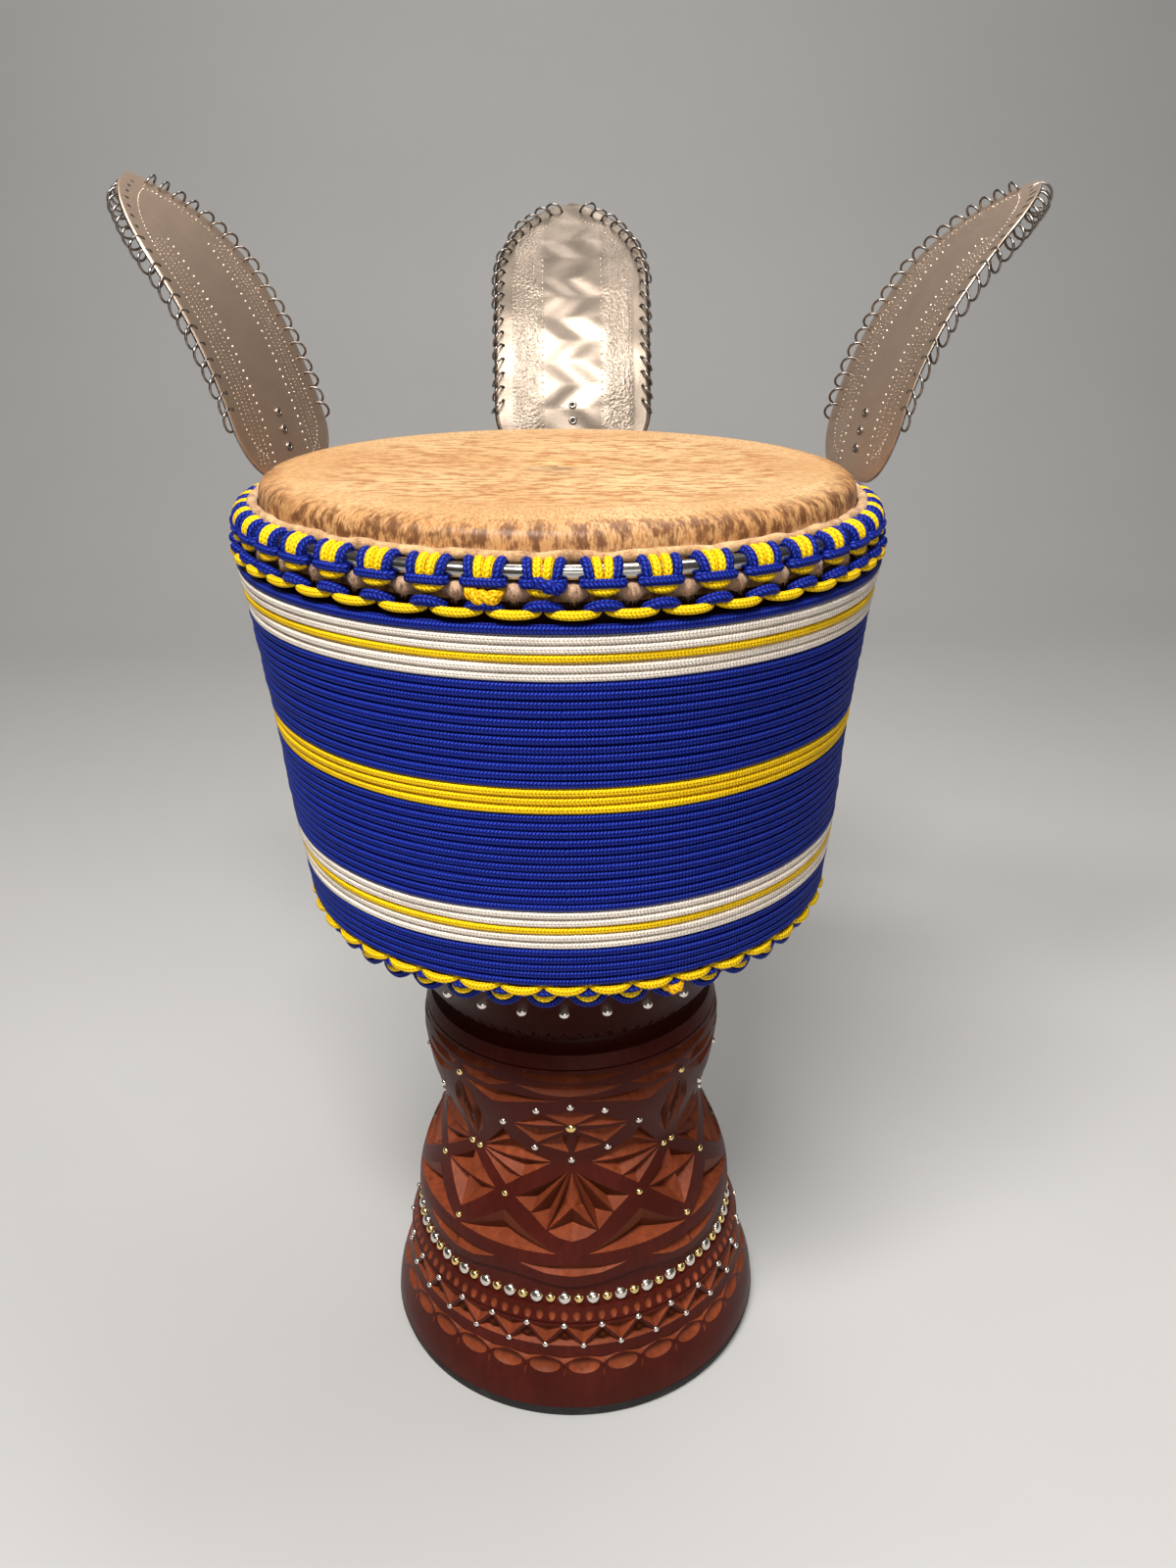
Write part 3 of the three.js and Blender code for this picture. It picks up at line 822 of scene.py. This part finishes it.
# Nails and studs driven into the wood: radius and height of their domes
STUD = {"belt_steel": (4.6, 3), "belt_brass": (3.5, 2.9), "bowl": (3.1, 2.6), "foot": (2.2, 1.9),
        "panel": (2.4, 2), "middle": (3.4, 2.4)}
BELT_STUDS = 37
BELT_STUD_HEIGHT = 83.7
BOWL_STUDS = 30
BOWL_STUD_HEIGHT = 308
BELT_PHASE = -4
BOWL_PHASE = -2
FOOT_NAIL_HEIGHTS = (52.4, 68)
MIDDLE_STUD_HEIGHT = 208.2
PANEL_STEEL = [(0, 226.6), (0, 178)]
PANEL_BRASS = [(45, 123.8), (45, 234)]
PANEL_STEEL_PAIRS = [(27, 206), (12.6, 222.2), (15, 187)]
PANEL_BRASS_PAIRS = [(42.6, 172.6), (26.8, 150.3)]


def drive(maker, angle, z, kind, sink=0.0):
    maker.dome(*on_wood(angle, z, sink), *STUD[kind])


def make_studs():
    steel, brass = Maker(), Maker()
    for i in range(BELT_STUDS):
        pitch = 360 / BELT_STUDS
        drive(steel, BELT_PHASE + i * pitch, BELT_STUD_HEIGHT, "belt_steel", BELT["sink"])
        drive(brass, BELT_PHASE + (i + 0.5) * pitch, BELT_STUD_HEIGHT, "belt_brass", BELT["sink"])
    for i in range(BOWL_STUDS):
        drive(steel, BOWL_PHASE + i * 360 / BOWL_STUDS, BOWL_STUD_HEIGHT, "bowl")
    for i in range(NAIL_COUNT):
        for k, height in enumerate(FOOT_NAIL_HEIGHTS):
            drive(steel, NAIL_PHASE + HALF_NAIL * (2 * i + k), height, "foot")
    for turn in range(0, 360, 2 * PANEL_HALF):
        middle = PANEL_PHASE + turn
        drive(brass, middle, MIDDLE_STUD_HEIGHT, "middle")
        for maker, single, paired in ((steel, PANEL_STEEL, PANEL_STEEL_PAIRS),
                                      (brass, PANEL_BRASS, PANEL_BRASS_PAIRS)):
            for a, z in single + [(side * a, z) for side in (1, -1) for a, z in paired]:
                drive(maker, middle + a, z, "panel")
    steel.piece("steel_studs", [STUD_STEEL_LIT], "bright_steel")
    brass.piece("brass_studs", [BRASS], "brass_nails")


make_studs()


# Hide head, the roll of its lip, and the hair left on the lip
HEAD_PROFILE = [
    [171.4, 567], [172.6, 567], [172.6, 584], [170.6, 586], [169.4, 588], [169.6, 592], [169, 595.6],
    [167.4, 598.6], [164.6, 600.6], [160.4, 601.8], [154, 602.4], [146, 602.6], [136, 602.6], [120, 602.4],
    [90, 602], [60, 601.6], [30, 601.4], [0.5, 601.4], [0.5, 598.2], [146, 598.2], [158, 596.9],
    [163.6, 594.6], [166.8, 591.4], [170.4, 585], [171.4, 567],
]
LIP = {"radius": 173, "z": 588.2, "half": 2.7, "hairs": 5200}


def make_head():
    head = Maker()
    head.lathe(HEAD_PROFILE, 240)
    head.piece("head_skin", [HIDE], "goat_hide", ["goat_skin", "skin_hem"])


def lip_core(angle):
    """Middle of the uneven roll at the hide's trimmed edge, and its half thickness."""
    a = np.radians(angle)
    z = LIP["z"] + 0.4 * np.sin(23 * a + 1) + 0.3 * np.sin(41 * a)
    half = LIP["half"] + 0.22 * np.sin(31 * a + 0.5) + 0.2 * np.sin(67 * a + 2)
    return polar(angle, LIP["radius"] + 0.3 * np.sin(17 * a), z), half


def hair(maker, root, direction, length, width):
    d = unit(direction)
    a = unit(np.cross(d, (0.3, 0.5, 0.81))) * width
    b = unit(np.cross(d, a)) * width
    verts = [root + a, root - a * 0.5 + b * 0.87, root - a * 0.5 - b * 0.87, root + d * length]
    maker.add(verts, [(0, 1, 3), (1, 2, 3), (2, 0, 3)])


def make_lip():
    roll = Maker()
    roll.tube(*lip_core(np.arange(RING_STEPS)), 12, closed=True)
    for _ in range(LIP["hairs"]):
        angle = random.uniform(0, 360)
        around = math.radians(random.uniform(-60, 120))
        core, half = lip_core(angle)
        facing = polar(angle, math.cos(around), math.sin(around))
        side = polar(angle + 90, random.gauss(0, 0.7), random.gauss(-0.3, 0.4))
        hair(roll, core + facing * half, facing * 0.5 + side, random.uniform(0.8, 1.8), 0.11)
    roll.piece("lip_roll", [LIP_FUR], "hide_fur")


make_head()
make_lip()


def unit_angle(index, phase=UNIT_PHASE):
    """Angle of a lacing unit: laced by hand, a little wider apart at the front than at the back."""
    turn = np.asarray(index, float) * UNIT_PITCH
    return phase + turn + UNIT_SWAY * np.sin(np.radians(turn))


# Steel crown ring, and the hide roll whose hairy knobs show between the loops
CROWN = {"radius": 178, "z": 582.3, "half": 3.75}
KNOB = {"radius": 174.6, "z": 573.6, "half": 4.8, "swell": 3.3, "wide": 4.8, "hairs": 90}


def steel_bar(name, radius, z, half, sides, replaces=()):
    bar = Maker()
    bar.tube(polar(np.arange(0, 360, 2), radius, z), half, sides, closed=True)
    bar.piece(name, [STEEL], "bright_steel", replaces)


def knob_core(index):
    """Middle of the roll at a place along the units, and how far it swells between two of them."""
    gap = (np.asarray(index, float) % 1 - 0.5) * math.radians(UNIT_PITCH) * KNOB["radius"]
    share = np.exp(-(gap / KNOB["wide"]) ** 2)
    return polar(unit_angle(index), KNOB["radius"] + KNOB["swell"] * share, KNOB["z"] - 0.8 * share), share


def make_fur_roll():
    roll = Maker()
    path, share = knob_core(np.arange(8 * LACING_UNITS) / 8)
    roll.tube(path, KNOB["half"] * (0.5 + 0.5 * share), 16, closed=True)
    for i in range(LACING_UNITS):
        for _ in range(KNOB["hairs"]):
            index = i + 0.5 + random.gauss(0, 0.15)
            angle = unit_angle(index)
            around = math.radians(random.uniform(-60, 70))
            facing = polar(angle, math.cos(around), math.sin(around))
            core, swell = knob_core(index)
            root = core + facing * KNOB["half"] * (0.48 + 0.5 * swell)
            lean = facing * 0.4 + polar(angle + 90, random.gauss(0, 0.25), -0.9)
            hair(roll, root, lean, random.uniform(1.6, 3.2), 0.14)
    roll.piece("fur_roll", [KNOB_FUR], "hide_fur", ["flesh_ring"])


steel_bar("crown_bar", **CROWN, sides=16, replaces=["crown_ring"])
make_fur_roll()


# Lacing: loops over the crown ring, and the same knots upside down under the bowl
LOOP_RADIUS = 183
CORD_HALF = 2.4
STRAND = [(172.6, 583.6), (174, 585.9), (177.2, 587), (180.6, 585.8), (182.5, 583), (182.4, 580),
          (180.8, 577.5), (178, 575.5)]
STRAND_FEET = ((8.5, 5.2, "blue"), (3.1, 1.7, "yellow"))
BIGHT = [(-7.6, 178.5, 577.4), (-9.0, 181.6, 578), (-8.2, 183.6, 578.3), (-4, 184.2, 578.4),
         (0, 184.3, 578.4)]
SMILE = [(-6.8, 179.5, 575.4), (-5.6, 181.8, 575.1), (-3.2, 183, 574.6), (0, 183.3, 574.3)]
HUMP = [(-8.6, 180, 565), (-6.6, 183, 566.8), (-3.6, 184.9, 568.2), (0, 185.4, 568.6)]
DASH = [(-12.6, 180.4, 565), (-10.4, 183.4, 564.6), (-5.8, 185.3, 564.3), (0, 185.6, 564.1)]
LOW_RADIUS = 160
LOW_HALF = 2.2
LOW_DASH = [(-11.8, 156, 352), (-10, 159.2, 351.2), (-5.4, 161.4, 350.2), (0, 161.8, 349.8)]
LOW_HUMP = [(-4.6, 154.6, 345.6), (-3.4, 157.4, 346.6), (-1.8, 158.9, 347.4), (0, 159.3, 347.6)]
LOW_SMILE = [(-6.6, 152.6, 345.4), (-5.2, 155.2, 344.4), (-2.8, 156.6, 343.2), (0, 157, 342.6)]
LOW_BIGHT = [(-10.4, 151, 344.6), (-8.8, 153.8, 342), (-4.8, 154.8, 339.2), (0, 155, 338.2)]
LOW_BAR = {"radius": 152.4, "z": 342, "half": 1.3}
TWISTED_END_UNIT = -1
MELTED_END_UNIT = 0


def unit_path(middle, route, base, count, jitter=0.0):
    """Route [tangent, radius, height] of one lacing unit, on the drum."""
    t, r, z = through(route, count).T
    t = t + random.uniform(-jitter, jitter)
    z = z + random.uniform(-jitter, jitter) * 0.6
    return polar(middle + np.degrees(t / base), r, z)


def lace(maker, middle, left, base, count, jitter, half, blunt=1):
    """Symmetric cord from its left half, drawn in at both ends where it is less than blunt."""
    route = left + [(-t, r, z) for t, r, z in left[-2::-1]]
    swell = blunt + (1 - blunt) * np.sin(np.linspace(0, math.pi, count)) ** 0.5
    maker.tube(unit_path(middle, route, base, count, jitter), half * swell)


def make_loops():
    cords = {"blue": Maker(), "yellow": Maker()}
    blue, yellow = cords.values()
    dashes = Maker()
    for i in range(LACING_UNITS):
        middle = unit_angle(i)
        pinch, lean = random.uniform(0.6, 1.35), random.uniform(-1.2, 1.2)
        for (top, foot, colour), hand in ((s, h) for s in STRAND_FEET for h in (-1, 1)):
            share = np.linspace(0, 1, len(STRAND))
            across = hand * (top + (foot - top) * pinch * share ** 1.5) + lean * (share - 0.5)
            route = [(t, r, z) for t, (r, z) in zip(across, STRAND)]
            cords[colour].tube(unit_path(middle, route, LOOP_RADIUS, 15, 0.2), CORD_HALF)
        lace(blue, middle, BIGHT, LOOP_RADIUS, 19, 0.3, CORD_HALF)
        if i != TWISTED_END_UNIT % LACING_UNITS:
            lace(yellow, middle, SMILE, LOOP_RADIUS, 17, 0.3, CORD_HALF, 0.5)
        lace(blue, middle, HUMP, LOOP_RADIUS, 15, 0.3, 2.7, 0.6)
        lace(dashes, unit_angle(i + 0.5), DASH, LOOP_RADIUS, 17, 0.35, 2.3, 0.4)
    blue.corded("crown_loops_blue", "blue", "crown_loops")
    yellow.corded("crown_loops_yellow", "yellow")
    dashes.corded("crown_dashes", "yellow", "dash_cord_upper")


def make_low_lacing():
    blue, yellow, dashes = Maker(), Maker(), Maker()
    for i in range(LACING_UNITS):
        gap = unit_angle(i + 0.5, LOW_PHASE)
        lace(dashes, unit_angle(i, LOW_PHASE), LOW_DASH, LOW_RADIUS, 17, 0.3, CORD_HALF, 0.4)
        lace(blue, gap, LOW_HUMP, LOW_RADIUS, 13, 0.3, LOW_HALF)
        lace(yellow, gap, LOW_SMILE, LOW_RADIUS, 15, 0.3, LOW_HALF, 0.5)
        lace(blue, gap, LOW_BIGHT, LOW_RADIUS, 15, 0.3, LOW_HALF)
    dashes.corded("low_dashes", "yellow", "dash_cord_lower")
    blue.corded("low_loops_blue", "blue", "ring_cord_lower")
    yellow.corded("low_loops_yellow", "yellow")
    steel_bar("low_bar", **LOW_BAR, sides=12)


# Cord ends: twisted yellow ones above and below, and a melted blue one
TWIST_TURNS = 2.5
TWISTED_END = [(-7.5, 180, 575.6), (-6.6, 183, 574.4), (-3, 185, 572), (3, 185.2, 571.4), (7, 183.4, 573),
               (8, 180, 574.6)]
LOW_END = [(-6, 153, 346), (-4, 157.6, 344.8), (0, 160, 343.4), (4, 159, 345), (6, 155, 347)]
LOW_END_UNIT = 2.5
MELTED_END = [(-4, 181.4, 580.2), (-2, 185.6, 579.4), (3, 186.6, 577.4), (7, 185.4, 576.2),
              (9.6, 182, 577.2)]


def twisted_end(maker, middle, route, base, half, coil):
    """Two strands twisted round a short route."""
    core = unit_path(middle, route, base, 25)
    turn = np.linspace(0, TWIST_TURNS * 2 * math.pi, len(core))
    fade = np.sin(np.linspace(0.15, math.pi - 0.15, len(core)))
    normal = unit(core * (1, 1, 0))
    side = np.cross(unit(np.gradient(core, axis=0)), normal)
    for start in (0, math.pi):
        spin = np.cos(turn + start)[:, None] * normal + np.sin(turn + start)[:, None] * side
        maker.tube(core + spin * coil * fade[:, None], half * (0.6 + 0.4 * fade), 10)


def make_cord_ends():
    twisted, melted = Maker(), Maker()
    twisted_end(twisted, unit_angle(TWISTED_END_UNIT), TWISTED_END, LOOP_RADIUS, 2.5, 1.7)
    twisted_end(twisted, unit_angle(LOW_END_UNIT, LOW_PHASE), LOW_END, LOW_RADIUS, 2.2, 1.5)
    twisted_end(melted, unit_angle(MELTED_END_UNIT), MELTED_END, LOOP_RADIUS, 2.3, 1.1)
    twisted.piece("yellow_cord_ends", [CORD["gold"]], "yellow_cord")
    melted.corded("blue_cord_end", "blue")


make_loops()
make_low_lacing()
make_cord_ends()


# Wound cord: one ring of cord for each turn
WRAP_TABLE = [[340, 158], [353, 163], [379, 165.9], [403, 169], [460, 173.2], [533, 181.6], [560, 186.2]]
RING_CORD = {"z": 556.9, "half": 2.55}
BANDS = [("white", 2), ("yellow", 1), ("white", 2), ("blue", 12), ("yellow", 3), ("blue", 12), ("white", 2),
         ("yellow", 1), ("white", 2), ("blue", 5)]
TURN_STEPS = 216


def cord_turn(maker, z, half):
    """One slightly uneven turn of cord round the bowl."""
    turn = np.arange(TURN_STEPS) * 360 / TURN_STEPS
    a = np.radians(turn)
    first, second = random.uniform(0, 6.28), random.uniform(0, 6.28)
    outside = np.interp(z, *np.array(WRAP_TABLE, float).T)
    radius = outside - half + 0.22 * np.sin(3 * a + first) + 0.12 * np.sin(11 * a + second)
    height = z + 0.18 * np.sin(2 * a + second) + 0.1 * np.sin(7 * a + first)
    maker.tube(polar(turn, radius, height), half, 10, closed=True)


def make_winding():
    top = Maker()
    cord_turn(top, **RING_CORD)
    top.corded("ring_cord_top", "blue", "ring_cord_upper")
    z = WRAP_TOP - CORD_PITCH / 2
    for i, (colour, turns) in enumerate(BANDS, 1):
        band = Maker()
        for _ in range(turns):
            cord_turn(band, z, CORD_HALF)
            z -= CORD_PITCH
        band.corded(f"wound_{i}_{colour}", colour, f"wrap_{i}_{colour}")


make_winding()


# Rattle plates: bent leaves with punched lines, loose wire rings and domed rivets
PLATE = {"wide": 113, "long": 215, "arch": 78, "foot": 38, "thick": 1.2, "base": 197}
PLATES = {
    "left": {"azimuth": 150.9, "yaw": 10, "roll": 3.8, "z": 581.4, "lean": (11.1, 49.1), "crumple": 0.12,
             "hanging": -1},
    "right": {"azimuth": 21.1, "yaw": -11, "roll": -4.7, "z": 579, "lean": (6.9, 59.6), "crumple": 0.12,
              "hanging": 1},
    "back": {"azimuth": 87.5, "yaw": 1.5, "roll": 0, "z": 572, "lean": (16, 52), "crumple": 0.75,
             "hanging": 0},
}
RIVETS = {"at": (20, 31, 42), "radius": 2.1, "half": 1.0}
WIRE = {"radius": 6, "half": 0.8, "inset": 6.2, "first": 46, "pitch": 10.2, "droop": 54, "hole": 1.4,
        "hang": 58, "hang_radius": 6.8}
PUNCH_BORDER = {"inset": 13.7, "pitch": 3.2, "radius": 0.55}
PUNCH_ROWS = ((19, 2.2, 0.32), (23, 2.2, 0.32), (28.5, 2.8, 0.4), (35, 5.2, 0.95))
PUNCH_ENDS = (12, 158)
PUNCH_HEIGHT = 0.7
DOT, RING_HOLE, CUT_EDGE = 1, 2, 3
LEAF_ROWS = 110
LEAF_COLUMNS = 33


def leaf_half(s):
    """Half the leaf's width at a length along it."""
    half = PLATE["wide"] / 2
    arch = (PLATE["arch"] ** 2 + half ** 2) / PLATE["wide"]
    up = np.clip(s - (PLATE["long"] - PLATE["arch"]), 0, PLATE["arch"])
    down = np.clip(PLATE["foot"] - s, 0, PLATE["foot"])
    tapered = np.maximum(1, np.sqrt(arch ** 2 - up ** 2) - arch + half)
    return tapered - PLATE["foot"] + np.sqrt(PLATE["foot"] ** 2 - down ** 2)


class Leaf:
    """Places points of one plate: across, along, and out of its outer face."""

    def __init__(self, azimuth, yaw, roll, z, lean, crumple, hanging):
        out, turn, tip = np.radians([azimuth, azimuth + yaw - 90, roll])
        self.spin = np.array(Matrix.Rotation(turn, 3, "Z") @ Matrix.Rotation(tip, 3, "Y"))
        self.foot = np.array([PLATE["base"] * math.cos(out), PLATE["base"] * math.sin(out), z])
        self.start, end = np.radians(lean)
        self.arc = PLATE["long"] / (end - self.start)
        self.crumple, self.hanging = crumple, hanging
        self.phases = [random.uniform(0, 6.28) for _ in range(4)]

    def dents(self, x, s):
        """Gentle buckles of thin sheet."""
        a, b, c, d = self.phases
        waves = np.sin(x / 9 + s / 31 + a) * np.sin(s / 8.5 + b) + 0.8 * np.sin(x / 21 - s / 13 + c)
        zigzag = np.abs((s / 17 + d) % 2 - 1)
        return self.crumple * (0.6 * waves + np.sin(x / 6.5 + 3.2 * zigzag) * np.exp(-(x / 26) ** 2))

    def at(self, x, s, lift=0.0):
        y = lift + self.dents(x, s)
        angle = self.start + s / self.arc
        out = self.arc * (math.cos(self.start) - np.cos(angle)) + y * np.cos(angle)
        up = self.arc * (np.sin(angle) - math.sin(self.start)) - y * np.sin(angle)
        return np.stack(np.broadcast_arrays(x, out, up), -1) @ self.spin.T + self.foot

    def on_face(self, x, s, face):
        """Point on one face of the leaf, and the way out of it."""
        lift = face * PLATE["thick"] / 2
        spot = self.at(x, s, lift)
        return spot, self.at(x, s, lift + face) - spot


def make_sheet(leaf, side, look):
    sheet = Maker()
    s = np.concatenate([np.linspace(0, 0.5, 3), np.linspace(1.5, PLATE["long"] - 2, LEAF_ROWS),
                        [PLATE["long"] - 0.8, PLATE["long"]]])[:, None]
    q = np.linspace(-1, 1, LEAF_COLUMNS)[None]
    across = np.concatenate([q, q[:, ::-1]], 1) * leaf_half(s)
    lift = np.repeat([-PLATE["thick"] / 2, PLATE["thick"] / 2], LEAF_COLUMNS)[None]
    place = np.stack(np.broadcast_arrays(across, s), -1).reshape(-1, 2)
    rows, columns = across.shape
    faces = sheet_faces(rows, columns, wrap_columns=True).tolist()
    faces += [range(columns - 1, -1, -1), range((rows - 1) * columns, rows * columns)]
    sheet.add(leaf.at(across, s, lift), faces, [place[list(f)] for f in faces])
    for i, corners in enumerate(faces):
        if corners[0] % columns in (LEAF_COLUMNS - 1, columns - 1):
            sheet.finish[i] = CUT_EDGE
    for face in (-1, 1):
        punch(sheet, leaf, face)
    looks = [look, PUNCHED, HOLE_SHADE, IRON]
    sheet.piece(f"plate_{side}", looks, "tin_plate", [f"rattle_plate_{side}"], settled=False)


def border(inset, pitch):
    """Evenly spaced points along the leaf's outline, drawn in by an inset."""
    s = np.linspace(4, PLATE["long"] - 0.5, 500)
    line = np.stack([leaf_half(s), s], -1)
    along = unit(np.gradient(line, axis=0))
    line = line + inset * np.stack([-along[:, 1], along[:, 0]], -1)
    line = line[(line[:, 0] > 0.5) & (line[:, 1] > inset)]
    run = run_along(line)
    at = np.arange(0, run[-1], pitch)
    return np.interp(at, run, line[:, 0]), np.interp(at, run, line[:, 1])


def punch(sheet, leaf, face):
    """Dotted border and rows on one face, and the holes of the wire rings as discs of painted shade."""
    edge = border(PUNCH_BORDER["inset"], PUNCH_BORDER["pitch"])
    dots = [(x, s, PUNCH_BORDER["radius"]) for x, s in zip(*edge)]
    for inset, pitch, radius in PUNCH_ROWS:
        x = PLATE["wide"] / 2 - inset
        rows = np.arange(*PUNCH_ENDS, pitch)
        dots += [(x + random.gauss(0, 0.1), s + random.gauss(0, 0.15), radius) for s in rows]
    for hand in (-1, 1):
        for x, s, radius in dots:
            sheet.dome(*leaf.on_face(hand * x, s, face), radius, PUNCH_HEIGHT * radius, 6, 2, DOT)
        for s in edge_stations():
            # A disc of painted shade where the ring's hole is.
            sheet.dome(*leaf.on_face(*ring_hole(hand, s), face), WIRE["hole"], 0.06, 8, 1, RING_HOLE)


def edge_stations():
    """Lengths along the leaf at which wire rings hang, evenly along its edge."""
    s = np.linspace(WIRE["first"], PLATE["long"] - 1.5, 400)
    run = run_along(np.stack([s, leaf_half(s)], -1))
    return np.interp(np.arange(0, run[-1], WIRE["pitch"]), run, s)


def ring_hole(hand, s):
    """Place of a wire ring's hole, inside the edge."""
    half, ahead = leaf_half(s), leaf_half(s + 0.5)
    out = unit(np.array([0.5, half - ahead]))
    return hand * max(half - WIRE["inset"] * out[0], 1.2), s - WIRE["inset"] * out[1]


def ring_tube(maker, middle, across, up, radius, half):
    """Round ring of wire in the plane of two directions."""
    steps, sides = 24, 8
    out = circle(steps, across, up)[:, None]
    verts = middle + radius * out + half * circle(sides, out, np.cross(across, up))
    maker.add(verts, sheet_faces(steps, sides, wrap_columns=True, wrap_rows=True)[:, ::-1])


def make_rings(leaf, side):
    """Wire rings that lean over the edge, or hang straight down from it."""
    rings = Maker()
    for hand in (-1, 1):
        hangs = hand == leaf.hanging
        radius = WIRE["hang_radius" if hangs else "radius"]
        for s in edge_stations():
            hole = leaf.at(*ring_hole(hand, s))
            edge = leaf.at(hand * leaf_half(s), s)
            along = unit(leaf.at(hand * leaf_half(s + 1), s + 1) - edge)
            normal = unit(leaf.at(hand * leaf_half(s), s, 1) - edge)
            droop = math.radians(random.gauss(WIRE["hang" if hangs else "droop"], 5))
            out = unit(edge - hole)
            down = np.array((0, 0, -1.0)) if hangs else -along
            reach = unit(out * math.cos(droop) + down * math.sin(droop))
            lie = (out if hangs else normal) + along * random.gauss(0, 0.12)
            lie = unit(lie - reach * (lie @ reach))
            ring_tube(rings, hole + reach * radius, reach, lie, radius, WIRE["half"])
    rings.piece(f"wire_rings_{side}", [IRON], "bright_steel", settled=False)


def make_rivets(leaf, side):
    """Hollow rivets: a rolled rim round a disc of painted shade for the hole, on both faces."""
    rivets = Maker()
    for s in RIVETS["at"]:
        for face in (-1, 1):
            spot, normal = leaf.on_face(0, s, face)
            across = unit(leaf.at(1, s) - leaf.at(0, s))
            up = np.cross(unit(normal), across)
            ring_tube(rivets, spot + 0.3 * normal, across, up, RIVETS["radius"], RIVETS["half"])
            rivets.dome(spot, normal, RIVETS["radius"], 0.1, 10, 1, finish=1)
    names = [f"rivet_{side}_{k}" for k in (1, 2, 3)]
    rivets.piece(f"rivets_{side}", [IRON, HOLE_SHADE], "bright_steel", names, settled=False)


def make_plates():
    for side, place in PLATES.items():
        leaf = Leaf(**place)
        # The back plate takes the darker copy of the tin, with painted shade.
        make_sheet(leaf, side, TIN_BACK_SHADED if side == "back" else TIN_SATIN)
        make_rings(leaf, side)
        make_rivets(leaf, side)
        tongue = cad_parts[f"plate_tongue_{side}"]
        tongue.data.materials.clear()
        tongue.data.materials.append(STEEL)
        rounded = tongue.modifiers.new("rounded", "BEVEL")
        rounded.width = 0.5 * MM
        rounded.segments = 2


make_plates()


# Pale floor that sweeps up behind, and soft studio light
SWEEP = {"front": -2.5, "back": 1.6, "radius": 0.9, "high": 3.2, "half": 3.5}


def make_floor():
    bend = np.radians(np.linspace(0, 90, 13))
    y = SWEEP["back"] + SWEEP["radius"] * np.sin(bend)
    z = SWEEP["radius"] * (1 - np.cos(bend))
    line = [(SWEEP["front"], 0.0), *zip(y, z), (SWEEP["back"] + SWEEP["radius"], SWEEP["high"])]
    verts = [(x, y, z) for y, z in line for x in (-SWEEP["half"], SWEEP["half"])]
    mesh = bpy.data.meshes.new("floor")
    mesh.from_pydata(verts, [], sheet_faces(len(line), 2).tolist())
    mesh.polygons.foreach_set("use_smooth", [True] * len(mesh.polygons))
    look = Look("floor_paint", Roughness=0.6)
    look.colour(look.mix(look.noise(3, 3), (0.50, 0.51, 0.52), (0.54, 0.54, 0.54)))
    mesh.materials.append(look.material)
    placed("floor", mesh)


def area_light(name, place, aim, size, power, colour):
    data = bpy.data.lights.new(name, "AREA")
    data.shape = "RECTANGLE"
    data.size, data.size_y = size
    data.energy = power
    data.color = colour
    lamp = placed(name, data)
    lamp.location = place
    lamp.rotation_euler = (Vector(aim) - Vector(place)).to_track_quat("-Z", "Y").to_euler()


def make_surroundings():
    """Dim light from all round, brighter from above, and a plain pale look past the floor."""
    world = bpy.data.worlds.new("studio")
    bpy.context.scene.world = world
    sky = Nodes(world)
    up = sky.part(sky.node("TexCoord", output="Generated"), 2)
    fade = sky.ramp(up, (0, (0.16, 0.14, 0.12)), (1, (0.62, 0.57, 0.52)))
    seen = sky.node("LightPath", output="Is Camera Ray")
    glow = sky.nodes["Background"].inputs
    sky.links.new(sky.mix(seen, fade, (1.9, 1.88, 1.85)), glow["Color"])
    glow["Strength"].default_value = 0.24


def make_light():
    bpy.context.scene.view_settings.view_transform = "Standard"
    aim = (AXIS[0], AXIS[1], 0.35)
    area_light("ceiling_front", (-0.4, -1.2, 2.3), aim, (1.2, 0.3), 74, (1.0, 0.96, 0.91))
    area_light("ceiling_over", (0.4, 0.3, 2.4), aim, (1.6, 0.6), 22, (1.0, 0.97, 0.93))
    area_light("fill_front", (0.5, -2.2, 0.9), aim, (1.6, 1.2), 9, (1.0, 0.97, 0.93))


make_floor()
make_surroundings()
make_light()
